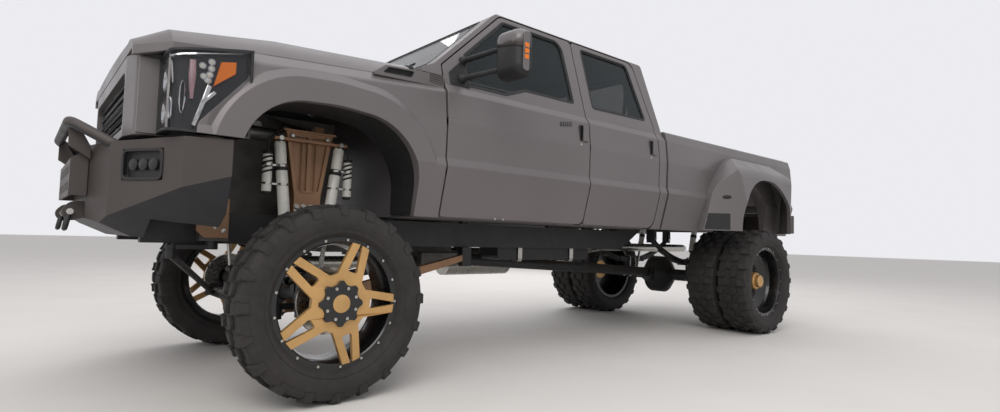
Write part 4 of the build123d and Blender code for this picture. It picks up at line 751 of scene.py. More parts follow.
def spoke_star():
    """Outline loops of the paired spokes, seen from outside, and of the hub bore."""
    outline = []
    for k in range(SPOKE_PAIRS):
        angle = SPOKE_TURN + 2 * math.pi * k / SPOKE_PAIRS
        ray, beside = Vector((math.sin(angle), math.cos(angle))), Vector((math.cos(angle),
                                                                          -math.sin(angle)))
        outline += [ray * v + beside * u for u, v in SPOKE_PAIR]
    return [outline, circle(HUB_BORE)]


def star_points(tips, outer, inner):
    """Star outline with flat-ended tips."""
    points = []
    for k in range(tips):
        for share, radius in ((-0.34, inner), (-0.10, outer), (0.10, outer), (0.34, inner)):
            angle = 2 * math.pi * (k + share) / tips
            points.append((radius * math.sin(angle), radius * math.cos(angle)))
    return points


def bolt_ring(bm, count, shift, x, radius, axle, start, end, size):
    """Hexagonal bolt heads in a ring at x, reaching from start to end along the axle."""
    for k in range(count):
        centre = on_axis(x, radius, 2 * math.pi * (k + shift) / count, axle)
        rod(bm, centre + ACROSS * start, centre + ACROSS * end, size, 6)


def wheel_bolts(name, body, side, lip, hub_ring, hub_shift, hub_start, hub_end, hub_size, axle):
    """Bolts of a rim's lip and of its hub; hub_ring is the x and the radius of the hub's ring."""
    bm = bmesh.new()
    bolt_ring(bm, RIM_BOLTS, 0.3, lip, LIP_RADIUS - 0.011, axle, -side * 0.004, side * 0.007, 0.0075)
    bolt_ring(bm, HUB_BOLTS, hub_shift, *hub_ring, axle, side * hub_start, side * hub_end, hub_size)
    add(name, bm, "bare_steel", body)


def front_wheels():
    """Black rims with five pairs of gold spokes, a ring of bolts and a star-shaped hub."""
    for name, side in SIDES:
        body = f"wheel_front_{name}"
        axle, _, face, _ = tyre_place(f"tyre_front_{name}", side)
        lip = face - side * LIP_INSET
        bm = bmesh.new()
        barrel(bm, lip, face - side * (TYRE_WIDTH - INNER_LIP_INSET), axle)
        add(f"rim_front_{name}", bm, "wheel_black", body, replaces=(body,))
        spokes = plate(f"spokes_front_{name}", spoke_star(), 0.030, 0.003,
                       wheel_plane(lip - side * 0.004, axle, side))
        for vertex in spokes.data.vertices:
            reach = math.hypot(vertex.co.y - axle.y, vertex.co.z - axle.z)
            vertex.co.x += side * SPOKE_DISH * (1 - reach / SPOKE_REACH)
        settle(spokes, "wheel_gold", body)
        settle(plate(f"hub_star_{name}", [star_points(HUB_BOLTS, 0.117, 0.098)], 0.024, 0.002,
                     wheel_plane(lip + side * 0.030, axle, side)), "wheel_black", body)
        bm = bmesh.new()
        turned(bm, lip, side, ((-140, 94), (34, 94), (40, 88), (40, 70), (36, 66)), axle, caps=(0, -1))
        add(f"hub_front_{name}", bm, "wheel_black", body)
        bm = bmesh.new()
        turned(bm, lip, side, ((30, 46), (43, 46), (44.5, 40), (44.5, 2)), axle, 48, caps=(-1,))
        add(f"hub_cap_{name}", bm, "wheel_gold", body)
        wheel_bolts(f"wheel_bolts_{name}", body, side, lip, (lip + side * 0.042, 0.082), 0.5, -0.006, 0.006,
                    0.009, axle)


def rear_wheels():
    """Deep black twin rims with a gold hub in the outer one."""
    for name, side in SIDES:
        body = f"wheel_rear_{name}"
        axle, _, outer, inner = tyre_place(f"tyres_rear_{name}", side)
        lip, dish = outer - side * LIP_INSET, outer - side * 0.215
        seat_radius = (BARREL_RADIUS - 0.004) / MM
        bm = bmesh.new()
        barrel(bm, lip, outer - side * (TYRE_WIDTH - INNER_LIP_INSET), axle)
        turned(bm, dish, side, ((75, seat_radius), (50, 285), (12, 215), (0, 190), (0, 120), (-20, 120),
                                (-20, 190),
                                (-10, 222), (30, 290), (55, seat_radius)), axle, 96, closed=True)
        barrel(bm, inner + side * (TYRE_WIDTH - INNER_LIP_INSET), inner + side * INNER_LIP_INSET, axle)
        turned(bm, inner, side, ((235, seat_radius), (235, 100), (255, 100), (255, seat_radius)), axle, 72,
               closed=True)
        add(f"rims_rear_{name}", bm, "wheel_black", body, replaces=(f"wheels_rear_{name}",))
        bm = bmesh.new()
        # the hub starts beside the inner rim's web and ends outside the dish
        start = (inner + side * 0.225 - dish) * side / MM
        turned(bm, dish, side, ((start, 110), (4, 110), (4, 86), (80, 84), (88, 76), (88, 62), (120, 60),
                                (126, 52),
                                (126, 2)), axle, caps=(0, -1))
        add(f"hub_rear_{name}", bm, "wheel_gold", body)
        wheel_bolts(f"wheel_bolts_rear_{name}", body, side, lip, (dish + side * 0.004, 0.140), 0.0, -0.010,
                    0.020, 0.011,
                    axle)


# Front end
# plan of the headlamp's face from the fender to the grille, as (x, station)
LAMP_PLAN = ((792, -815), (850, -817), (915, -818), (950, -815), (972, -806), (986, -788), (997, -762),
             (1003, -700),
             (1007, -600), (1009, -462))
LAMP_DEPTH = -38
# how far off a surface its normal is taken
PROBE = 38
GRILLE_HALF, GRILLE_LOW, GRILLE_HIGH = 578, 1362, 1580
MESH_PITCH = 26
LUG_STATION, LUG_HEIGHT = -1085, 935


def stud(bm, place, u, v, lift, rows, sides):
    """Spindle that stands off a surface, starting at a lift."""
    base = place(u, v, lift)
    spindle(bm, base, place(u, v, lift + PROBE) - base, rows, sides)


def lamp_place(side):
    """Place on the headlamp's wrapped face from the way along it, height and lift; and its stretches."""
    path = [Vector(p) for p in LAMP_PLAN]
    reach = [0.0]
    for a, b in zip(path, path[1:]):
        reach.append(reach[-1] + (b - a).length)

    def place(t, z, lift):
        k = max(i for i, r in enumerate(reach[:-1]) if r <= t + 1e-6 or i == 0)
        share = (t - reach[k]) / (reach[k + 1] - reach[k])
        point = path[k].lerp(path[k + 1], share)
        run = (path[k + 1] - path[k]).normalized()
        ahead = (path[min(k + 2, len(path) - 1)] - path[min(k + 1, len(path) - 2)]).normalized()
        run = run.lerp(ahead, min(1.0, max(0.0, share))).normalized()
        point += Vector((run.y, -run.x)) * lift
        return at(side * point.x, point.y, z)
    return place, reach


def lamp_top(t):
    """Height of the headlamp's upper edge on the way along it."""
    return 1650 + 72 * min(1.0, max(0.0, (t - 100) / 420))


def strip(bm, place, stations, section):
    """Closed solid along a surface; section gives (height, lift) rows at a station."""
    skin(bm, [[place(t, z, lift) for z, lift in section(t)] for t in stations], caps=True)


def head_lamps():
    """Lamp units behind a wrapped clear lens: housing, oval rings, light dots, reflectors, bezel."""
    shell, chrome, dots, amber, lens, pale, rose, paint = (bmesh.new() for _ in range(8))
    for side in (1, -1):
        place, reach = lamp_place(side)
        end = reach[-1]
        whole = sorted([0, 20] + reach[1:] + [345, 440, 490])
        # housing: back, sill, upper lip and both ends
        for section in (
            lambda t: ((1296, -46), (lamp_top(t), -46), (lamp_top(t), -38), (1296, -38)),
            lambda t: ((1296, -40), (1312, -40), (1308, 0), (1296, 0)),
            lambda t: ((lamp_top(t), -40), (lamp_top(t) - 18, -40), (lamp_top(t) - 12, -1),
                       (lamp_top(t), -1)),
        ):
            strip(shell, place, whole, section)
        for ends in ((0, 12), (end - 12, end)):
            strip(shell, place, ends, lambda t: ((1300, -40), (lamp_top(t) - 6, -40), (lamp_top(t) - 6, -1),
                                                 (1300, -1)))
        slab(paint, side * 764, side * 791, -893, -812, 1298, 1648)
        strip(pale, place, (152, 157),
              lambda t: ((1306, -22), (lamp_top(t) - 14, -22), (lamp_top(t) - 14, -12), (1306, -12)))
        for z in (1392, 1540):
            stud(chrome, place, 76, z, LAMP_DEPTH, ((0, 30), (14, 52), (20, 57), (20, 60), (10, 58),
                                                    (0, 45)), 36)
            stud(dots, place, 76, z, LAMP_DEPTH, ((2, 34), (7, 32), (11, 20), (12, 1)), 28)
        # bright brow under the upper edge
        strip(chrome, place, [4] + reach[1:-1] + [345, 440, 490, 520],
              lambda t: ((lamp_top(t) - 52 + t * 0.055, -36), (lamp_top(t) - 34 + t * 0.05, -36),
                         (lamp_top(t) - 36 + t * 0.05, -12), (lamp_top(t) - 44 + t * 0.05, -10)))
        # upright oval rings
        for t, z, wide, high in ((182, 1398, 15, 52), (242, 1452, 14, 76)):
            rows = [[place(t + (wide + grow) * math.cos(a), z + (high + grow) * math.sin(a), lift)
                     for a in turns(36)]
                    for grow, lift in ((0, -38), (0, -16), (-5, -12), (-8, -16), (-8, -38))]
            skin(chrome, rows, closed=True)
        for bm, rows in (
            (rose, ((266, 1628), (290, 1628), (294, 1560), (286, 1450), (274, 1450), (264, 1554))),
            (amber, ((396, 1640), (460, 1652), (460, 1596), (368, 1522), (378, 1562))),
            (chrome, ((342, 1526), (362, 1518), (302, 1324), (286, 1334))),
            (chrome, ((370, 1500), (384, 1490), (328, 1430), (316, 1444))),
            (chrome, ((176, 1610), (186, 1610), (199, 1512), (190, 1512))),
        ):
            loop = [Vector(p) for p in rows]
            cuts = [p.lerp(q, k / 4) for p, q in zip(loop, loop[1:] + loop[:1]) for k in range(4)]
            pad(bm, cuts, place, LAMP_DEPTH, -15, shrink=2.0)
        for t, z in ((320, 1610), (357, 1634), (357, 1603), (351, 1573), (344, 1546), (326, 1562)):
            stud(chrome, place, t, z, LAMP_DEPTH, ((0, 8), (10, 15), (12, 15.5), (12, 13), (4, 8)), 20)
            stud(dots, place, t, z, LAMP_DEPTH, ((2, 10), (10, 10), (14, 6), (15, 1)), 16)
        strip(lens, place, whole,
              lambda t: ((1304, -7), (lamp_top(t) - 7, -7), (lamp_top(t) - 7, -2.5), (1480, 0.5),
                         (1304, -2.5)))
    add("lamp_housing", shell, "lamp_dark", replaces=("head_lamps",), slot="black_plastic", bevel=0.001)
    add("lamp_bowls", chrome, "chrome", sharp=50)
    add("lamp_dots", dots, "white_paint")
    add("lamp_markers", amber, "amber_lens")
    add("lamp_edges", pale, "lamp_pale", slot="white_paint", sharp=50)
    add("lamp_reflectors", rose, "lamp_rose", sharp=50)
    add("lamp_bezels", paint, "body_paint", sharp=50)
    add("lamp_covers", lens, "lamp_lens", sharp=60)


def grille_details():
    """Fine mesh behind the slats, the rim's inner lip and clips."""
    bm = bmesh.new()
    rise = GRILLE_HIGH - GRILLE_LOW
    count = int((2 * GRILLE_HALF + rise) / MESH_PITCH)
    for k in range(count + 1):
        for lean in (1, -1):
            x0 = -GRILLE_HALF - rise + MESH_PITCH * k + rise * (lean < 0)
            a, b = Vector((x0, GRILLE_LOW)), Vector((x0 + lean * rise, GRILLE_HIGH))
            # cut the wire where it leaves the opening
            for p, q in ((a, b), (b, a)):
                if abs(p.x) > GRILLE_HALF:
                    edge = GRILLE_HALF if p.x > 0 else -GRILLE_HALF
                    share = (edge - p.x) / (q.x - p.x)
                    if 0 <= share <= 1:
                        p.x, p.y = edge, p.y + (q.y - p.y) * share
            if max(abs(a.x), abs(b.x)) <= GRILLE_HALF + 1 and (b - a).length > 12:
                s = -868 + lean * 1.5
                rod(bm, at(a.x, s, a.y), at(b.x, s, b.y), 0.0022, 6)
    add("grille_mesh", bm, "frame_black")
    bm = bmesh.new()
    frame_band(bm, oblong(-590, 590, 1340, 1600, 20), 16, lambda u, v, lift: at(u, -880 - lift, v), 0, 9)
    for k in range(5):
        z = 1368 + 51 * k
        slab(bm, -576, 576, -905, -897, z - 2.5, z + 2.5)
    for x in (-291, 0, 291):
        for z in (1372, 1571):
            spindle(bm, at(x, -897, z), -BACK, ((0, 11), (6, 11), (9, 8), (9, 1)), 16)
    add("grille_trim", bm, "black_plastic", bevel=0.0012)


def bumper_details():
    """Pocket lamps and shackles of the front bumper."""
    dark, steel, lens = bmesh.new(), bmesh.new(), bmesh.new()
    centre = Vector((792, -863))
    run = Vector((390, 230)).normalized()
    out = Vector((run.y, -run.x))
    for name, side in SIDES:
        def place(u, v, lift):
            p = centre + run * u + out * lift
            return at(side * p.x, p.y, v)
        pocket = oblong(-126, 126, 1081, 1225, 30)
        frame_band(dark, pocket, 12, place, -30, 0.8, outward=1)
        pad(dark, inset(pocket, 10), place, -30, -22)
        for u in (-62, 0, 62):
            stud(dark, place, u, 1153, -22, ((0, 18), (10, 26), (14, 28), (14, 25), (4, 16)), 24)
            stud(lens, place, u, 1153, -12, ((0, 26.5), (6, 26.5), (9, 20), (10, 1)), 24)
        # shackle through the tow lug
        spindle(steel, at(side * 300 - 46, LUG_STATION, LUG_HEIGHT), ACROSS,
                ((0, 8), (6, 13), (12, 13), (12, 12.5), (80, 12.5), (80, 15), (92, 15), (92, 6)), 16)
        hose(f"shackle_{name}", [
            at(side * 300 + x, LUG_STATION - 15.5 * math.sin(a), LUG_HEIGHT + 2 - 88 * math.sin(a))
            for x, a in
            ((-30, 0.0), (-36, 0.5), (-40, 0.9), (-30, 1.25), (0, 1.57), (30, 1.25), (40, 0.9), (36, 0.5),
             (30, 0.0))
        ], 0.0115, "frame_black", 4)
    add("bumper_pockets", dark, "frame_black", bevel=0.0015)
    add("bumper_bolts", steel, "bare_steel")
    add("bumper_lamps", lens, "lamp_dark", sharp=60)


def cowl_and_wipers():
    """Black cowl strip at the foot of the windscreen, its grid, wipers and washer nozzles."""
    screen = on_pane(SCREEN_LINE, 1)
    bm = bmesh.new()
    loop = rounded_rows(((-795, 1926, 8), (-789, 1960, 8), (789, 1960, 8), (795, 1926, 8)), 3)
    pad(bm, loop, screen, -5, 3, shrink=1.5)
    for k in range(-34, 35):
        rows = [screen(22 * k + dx, z, 2) for dx, z in ((-3, 1932), (3, 1932), (3, 1953), (-3, 1953))]
        prism(bm, rows, screen(0, 1940, 2.2) - screen(0, 1940, 0))
    add("cowl_strip", bm, "black_plastic")
    bm = bmesh.new()
    blade_steps = 12
    for pivot, tip_x, tip_z, reach in ((610, 330, 2010, 470), (-40, -300, 2005, 470)):
        stud(bm, screen, pivot, 1950, 0, ((0, 18), (20, 16), (26, 12), (26, 1)), 20)
        arm = [screen(pivot, 1950, 20), screen(pivot - 60, 1962, 30), screen((pivot + tip_x) / 2, 1985, 26),
               screen(tip_x, tip_z - 6, 18)]
        for a, b, r0, r1 in zip(arm, arm[1:], (0.011, 0.010, 0.008), (0.010, 0.008, 0.006)):
            rod(bm, a, b, r0, 10, r1)
        for k in range(blade_steps - 1):
            x = tip_x - reach / 2 + reach * k / blade_steps
            z = tip_z - 14 + 24 * (k / blade_steps)
            section = ((-4, 5), (4, 5), (6, 10), (3, 17), (-3, 17), (-6, 10))
            skin(bm, [[screen(x + dx, z + rise + dz, lift) for dz, lift in section]
                      for dx, rise in ((0, 0), (reach / blade_steps, 2))], caps=True)
    add("wipers", bm, "black_plastic", sharp=50)


def pane_borders():
    """Dark printed edge and rubber seal round the windscreen and the rear window."""
    bm = bmesh.new()
    for line, outward, rows, width, sunk, seal_top in (
        (SCREEN_LINE, 1, ((-803, 1949, 40), (-657, 2412, 60), (657, 2412, 60), (803, 1949, 40)), 34, 6,
         2.0),
        (REAR_PANE_LINE, -1, ((-690, 1812, 60), (-600, 2344, 60), (600, 2344, 60), (690, 1812, 60)), 30, 20,
         -6.0),
    ):
        place = on_pane(line, outward)
        loop = rounded_rows(rows)
        frame_band(bm, loop, width, place, -sunk + 0.5, -sunk + 2.0)
        frame_band(bm, loop, 7, place, -sunk, seal_top, outward=4.0)
    add("pane_borders", bm, "black_plastic")


# Sides: windows, handles, mirrors, vents and flares
MIRROR_MIDDLE = Vector((1330, 1946))
MIRROR_HALVES = (117, 145)


def keypad(name, body, place):
    """Row of buttons under the window of a front door."""
    bm = bmesh.new()
    frame_band(bm, rounded_rows(((1651, 1709, 5), (1778, 1727, 5), (1779, 1695, 5), (1653, 1677, 5)), 3),
               4, place, -1, 1.6)
    for k in range(5):
        button = [Vector((1662 + 23.5 * k + du, 1693 + 3.1 * k + dv))
                  for du, dv in ((-8, -9.5), (8, -8), (8, 10), (-8, 8.5))]
        pad(bm, button, place, -1, 0.8, shrink=0.6)
    add(f"keypad_{name}", bm, "black_plastic", body)


def door_trim():
    """Window seals, handle recesses, lock dots, keypad and lower door bolts."""
    for name, side in SIDES:
        place, skin_plane = on_side(side), flat_at(side * DOOR_SKIN)
        for which, rows in DOOR_WINDOWS.items():
            body = f"door_{which}_{name}"
            bm = bmesh.new()
            loop = dense(rounded_rows(rows), 90)
            frame_band(bm, loop, 20, place, -14, -4.0, outward=1.0)
            frame_band(bm, loop, 9, place, -12, 0.5, outward=2.5)
            s = HANDLE_STATIONS[which]
            recess = oblong(s, s + 28, 1602, 1716, 9, 3)
            frame_band(bm, recess, 4, skin_plane, -14, 2.5)
            pad(bm, inset(recess, 2), flat_at(side * 979), -1, 1.5)
            grip = rounded_rows(((s + 24, 1598, 14), (s + 24, 1720, 14), (s + 88, 1712, 18),
                                 (s + 88, 1606, 18)))
            frame_band(bm, grip, 2.5, skin_plane, -2, 1.2)
            add(f"door_seals_{which}_{name}", bm, "black_plastic", body)
            bm = bmesh.new()
            spindle(bm, at(side * 1003, s + 14, 1572), side * ACROSS,
                    ((0, 8.5), (4, 8.5), (6, 6), (6, 2), (4, 1.5)), 20)
            if which == "front":
                for dot in (1084, 1153):
                    spindle(bm, at(side * 972, dot, 985), side * ACROSS, ((0, 8), (6, 7), (8, 4), (8, 1)),
                            16)
            add(f"door_locks_{which}_{name}", bm, "bare_steel", body)
            if which == "front":
                keypad(name, body, place)


def mirror_rows(side, grow=0.0):
    """Cross-sections of the mirror head from its glass side to its crowned front."""
    rows = []
    face = rounded_rows(((1213, 1800, 34), (1219, 2092, 44), (1440, 2084, 62), (1448, 1806, 52)), 6)
    for s, shrink in ((942, 2), (934, 0), (890, 4), (866, 12), (850, 24), (841, 38), (836, 56)):
        across, upright = (1 - (shrink - grow) / half for half in MIRROR_HALVES)
        rows.append([at(side * (MIRROR_MIDDLE.x + (p - MIRROR_MIDDLE).x * across), s - grow * 0.9,
                        MIRROR_MIDDLE.y + (p - MIRROR_MIDDLE).y * upright) for p in face])
    return rows


def mirror_head(bm, side, back):
    """Black head with its frames round both glasses."""
    skin(bm, mirror_rows(side), caps=True)
    ring = rounded_rows(((1222, 1812, 30), (1228, 2084, 38), (1432, 2076, 50), (1439, 1818, 44)))
    frame_band(bm, flipped(side, ring), 12, back, -4, 6)
    divider = rounded_rows(((1236, 1900, 8), (1238, 1914, 6), (1428, 1914, 6), (1430, 1900, 8)))
    frame_band(bm, flipped(side, divider), 5, back, -3, 5)


def mirror_arms(bm, side):
    """Twin arms from the sail to the head."""
    radius = 18
    for foot, head in (((938, 806, 1858), (1235, 880, 1872)), ((892, 842, 1990), (1235, 880, 2000))):
        a, b = at(side * foot[0], *foot[1:]), at(side * head[0], *head[1:])
        length = (b - a).length / MM
        spindle(bm, a, b - a, ((0, 30), (16, 30), (30, 20), (60, radius), (length * 0.6, radius),
                               (length * 0.62, radius * 0.86), (length, radius * 0.86)), 20)


def mirror_sail(bm, place):
    """Three-cornered panel in front of the window: its rim and its field in level bands."""
    sail = rounded_rows(((716, 1806, 12), (716, 1888, 8), (848, 2006, 14), (868, 2000, 12),
                         (868, 1806, 12)), 3)
    frame_band(bm, dense(sail, 60), 10, place, -6, 4.5)
    foot, height, bands = 1808, 190, 14
    for k in range(bands):
        corners = []
        for z in (foot + height * k / bands, foot + height * (k + 1) / bands):
            corners.append((720 if z < 1888 else 720 + (z - 1888) * 1.12, 864, z))
        (a0, b0, za), (a1, b1, zb) = corners
        skin(bm, [[place(s, z, lift) for s, z in ((a0, za), (b0, za), (b1, zb), (a1, zb))]
                  for lift in (-6, 3)],
             caps=True)


def mirror_cap(name, side, body):
    """Painted shell over the upper part of the head."""
    bm = bmesh.new()
    loops = skin(bm, mirror_rows(side, 2.5)[1:])
    bm.faces.new(loops[-1][::-1])
    bmesh.ops.bisect_plane(bm, geom=bm.verts[:] + bm.edges[:] + bm.faces[:],
                           plane_co=at(side * 1330, 880, 1985),
                           plane_no=Vector((-side * 0.16, 0, -1)).normalized(), clear_outer=True)
    cap = from_bmesh(f"mirror_cap_{name}", bm)
    shell = cap.modifiers.new("thickness", "SOLIDIFY")
    shell.thickness = 0.002
    shell.offset = 1
    settle(cap, "body_paint", body, sharp=36)


def side_mirrors():
    """Towing mirrors: crowned heads with painted caps, lamps, two glasses, twin arms and the sail."""
    back = facing_back(942)
    for name, side in SIDES:
        def outer(s, z, lift):
            return at(side * (1446.5 - abs(z - 1945) * 0.028 + lift), s, z)
        body = f"door_front_{name}"
        bm = bmesh.new()
        mirror_head(bm, side, back)
        mirror_arms(bm, side)
        mirror_sail(bm, on_side(side))
        bmesh.ops.remove_doubles(bm, verts=bm.verts, dist=1e-6)
        add(f"mirror_{name}", bm, "black_plastic", body, replaces=(f"side_mirror_{name}",), sharp=36)
        mirror_cap(name, side, body)
        bm = bmesh.new()
        for low, high in ((1926, 2066), (1830, 1890)):
            face = rounded_rows(((1242, low, 12), (1244, high, 16), (1424, high - 4, 22), (1430, low, 16)))
            pad(bm, flipped(side, face), back, -2, 3)
        add(f"mirror_glass_{name}", bm, "mirror_glass", body)
        bm = bmesh.new()
        lamp = rounded_rows(((872, 1832, 14), (872, 2052, 20), (920, 2060, 16), (920, 1826, 14)), 4)
        pad(bm, lamp, outer, -3, 3.2, shrink=1.2)
        add(f"mirror_lamp_body_{name}", bm, "body_paint", body)
        bm = bmesh.new()
        for k in range(3):
            pad(bm, oblong(880, 912, 1895 + 34 * k, 1921 + 34 * k, 5, 3), outer, 2.5, 3.5)
        add(f"mirror_lamp_{name}", bm, "amber_lens", body)


def vent_trim():
    """Dark outline and louvres of the vent panel beside the hood."""
    bm = bmesh.new()
    for side in (1, -1):
        place = flat_at(side * 958)
        slot = rounded_rows(((246, 1781, 6), (281, 1819, 6), (455, 1828, 8), (434, 1789, 8)), 3)
        frame_band(bm, slot, 5, place, -8, 2)
        for k in range(4):
            z = 1793 + 8 * k
            slab(bm, side * 948, side * 955, 262 + 7 * k, 440 + 3 * k, z, z + 3)
        panel = rounded_rows(((560, 1786, 8), (560, 1842, 8), (652, 1844, 8), (652, 1786, 8)), 3)
        frame_band(bm, panel, 3, place, -1, 1.2)
        for k in range(4):
            slab(bm, side * 957.5, side * 959.5, 566, 646, 1797 + 11 * k, 1801 + 11 * k)
    add("vent_trim", bm, "black_plastic")


def on_flare(side, x, s, z):
    """Where the rear flare's skin is, seen from beside the truck, and its normal."""
    return landing("dually_fenders", at(side * x, s, z), -side * ACROSS)


def stone_guard(bm, side):
    """Sheet that follows the front of a rear flare, from its front edge to an upright line."""
    rows = []
    for k in range(9):
        z = 1150 - 150 * k / 8
        # the flare's front edge at this height is the first station where a ray meets it
        front = next((s for s in range(3560, 3720, 4) if abs(on_flare(side, 1390, s, z)[0].x) < 1.38), None)
        if front is not None:
            rows.append([on_flare(side, 1390, front + 3 + (3757 - front) * j / 10, z)[0]
                         for j in range(11)])
    if len(rows) > 2:
        top = [[p + ACROSS * side * 0.0035 for p in row] for row in rows]
        low = [[p - ACROSS * side * 0.002 for p in row] for row in rows]
        skin(bm, top, around=False)
        skin(bm, low, around=False)
        for a, b in ((top[0], low[0]), (top[-1], low[-1]), ([r[0] for r in top], [r[0] for r in low]),
                     ([r[-1] for r in top], [r[-1] for r in low])):
            skin(bm, [a, b], around=False)


def flare_trim():
    """Stone guards on the rear flares and their marker lamps."""
    guard, lamp, light = bmesh.new(), bmesh.new(), bmesh.new()
    for side in (1, -1):
        stone_guard(guard, side)
        for s in (3738, 4990):
            centre, normal = on_flare(side, 1400, s, 1304)
            u = BACK.cross(normal).cross(normal).normalized()
            v = normal.cross(u)
            for bm, rows in ((lamp, ((-0.003, 1.0), (0.004, 1.0), (0.007, 0.9), (0.007, 0.62),
                                     (0.003, 0.6))),
                             (light, ((0.001, 0.62), (0.006, 0.6), (0.010, 0.45), (0.0115, 0.02)))):
                oval(bm, centre, normal, u * 0.042, v * 0.017, rows, 32)
    bmesh.ops.remove_doubles(guard, verts=guard.verts, dist=1e-5)
    add("stone_guards", guard, "black_plastic", sharp=40)
    add("flare_lamps", lamp, "black_plastic")
    add("flare_lights", light, "lamp_dark")


def roof_lamps():
    """Five marker lamps on the roof's front edge."""
    base, light = bmesh.new(), bmesh.new()
    for x in (-560, -150, 0, 150, 560):
        centre, normal = landing("cab_shell", at(x, 1330, 2700), -UP)
        for bm, rows in ((base, ((-0.004, 1.1), (0.003, 1.1), (0.004, 1.0), (0.006, 0.98))),
                         (light, ((0.004, 0.96), (0.012, 0.90), (0.019, 0.7), (0.022, 0.35),
                                  (0.0225, 0.02)))):
            oval(bm, centre, normal * 0.75, ACROSS * 0.048, BACK * 0.026, rows, 28)
    add("roof_lamp_bases", base, "black_plastic")
    add("roof_lamps", light, "lamp_pale", sharp=60)


# Running gear
# foot, head and reservoir station of each shock absorber
SHOCKS = (((570, -90, 590), (578, -178.02, 1390), -238.05), ((570, 90, 590), (578, 178.02, 1390), 238.05),
          ((345, 4419, 538), (345, 4560, 1100), None))
COIL_X = 530
# leaf packs: half length and rise, height of the upper side over the axle, thickness of a leaf
LEAF_HALF, LEAF_SAG = 760.0, 226.0
LEAF_BOW = (LEAF_HALF ** 2 + LEAF_SAG ** 2) / (2 * LEAF_SAG)
LEAF_TOP = 674.0
LEAF_THICK = 18


def reservoir(black, white, steel, name, side, low, high, s):
    """Strapped reservoir beside a shock absorber, with its slanting bands, clamps and hose."""
    base, run = at(side * 578, s, 1070), high - low
    spindle(black, base, UP, ((0, 12), (2, 23), (14, 26.5), (16, 26.5), (16, 20)), 28)
    spindle(white, base, UP, ((14, 20), (16, 26), (222, 26), (224, 20)), 28)
    spindle(black, base, UP, ((222, 20), (222, 26.8), (236, 26.8), (240, 20), (240, 8)), 28)
    for k in range(4):
        centre = base + UP * (0.120 + 0.026 * k)
        skin(black, [[centre + Vector((r * math.cos(a), r * math.sin(a), z + 0.009 * math.cos(a - 1.0)))
                      for a in turns(28)]
                     for r, z in ((0.0262, 0.0), (0.0269, 0.002), (0.0269, 0.010), (0.0262, 0.012))],
             closed=True)
    for z in (1130, 1235):
        point = low + run * ((z - 590) / 800)
        for where, radius in ((Vector((base.x, base.y, z * MM)), 28.5), (point, 34.5)):
            spindle(steel, where - UP * 0.006, UP, ((0, radius - 3), (0, radius), (12, radius),
                                                    (12, radius - 3)), 28)
        block(steel, (base.x - 0.008, min(base.y, point.y), z * MM - 0.005),
              (base.x + 0.008, max(base.y, point.y), z * MM + 0.005))
    top = base + UP * 0.238
    out = -1 if s < 0 else 1
    hose(f"shock_hose_{name}_{'front' if out < 0 else 'rear'}",
         [top, top + UP * 0.035, top + Vector((side * 0.012, -out * 0.012, 0.085)),
          high + Vector((side * 0.020, out * 0.020, 0.020)), high + Vector((side * 0.014, 0, -0.030)),
          high - UP * 0.050], 0.0055, "black_plastic", 6)


def front_shocks():
    """White shock absorbers with banded reservoirs, hoses and end eyes, and the rear pair."""
    white, black, steel = bmesh.new(), bmesh.new(), bmesh.new()
    for name, side in SIDES:
        for foot, head, tank in SHOCKS:
            low, high = at(side * foot[0], *foot[1:]), at(side * head[0], *head[1:])
            run = high - low
            length = run.length / MM
            start = length * 0.42
            for bm, rows, sides in (
                (steel, ((0, 10), (0, 13.5), (start + 20, 13.5), (start + 20, 10)), 20),
                (white, ((start, 22), (start, 31), (start + 12, 32), (length - 185, 32),
                         (length - 180, 29)), 28),
                (black, ((length - 182, 28), (length - 178, 34), (length - 150, 34), (length - 146, 28)),
                 28),
                (white, ((length - 148, 28), (length - 142, 31), (length - 30, 31), (length - 12, 22),
                         (length - 12, 10)), 28),
                (black, ((start - 14, 16), (start - 10, 26), (start + 1, 30), (start + 1, 16)), 24),
            ):
                spindle(bm, low, run, rows, sides)
            for centre in (low, high):
                spindle(black, centre - ACROSS * (side * 0.024), side * ACROSS,
                        ((0, 14), (0, 24), (2, 26), (46, 26), (48, 24), (48, 14)), 24)
                spindle(steel, centre - ACROSS * (side * 0.034), side * ACROSS,
                        ((0, 6), (0, 13), (12, 13), (12, 9), (56, 9), (56, 13), (70, 13), (70, 6)), 12)
            if tank is not None:
                reservoir(black, white, steel, name, side, low, high, tank)
    add("shock_bodies", white, "white_paint", replaces=("shock_absorbers",), sharp=40)
    add("shock_bands", black, "black_plastic", sharp=40)
    add("shock_rods", steel, "bare_steel", sharp=40)


def leaf_height(d, depth):
    """Height of the leaf pack at a distance from the axle and a depth under its upper side."""
    return LEAF_TOP + LEAF_BOW - math.sqrt((LEAF_BOW + depth) ** 2 - d ** 2)


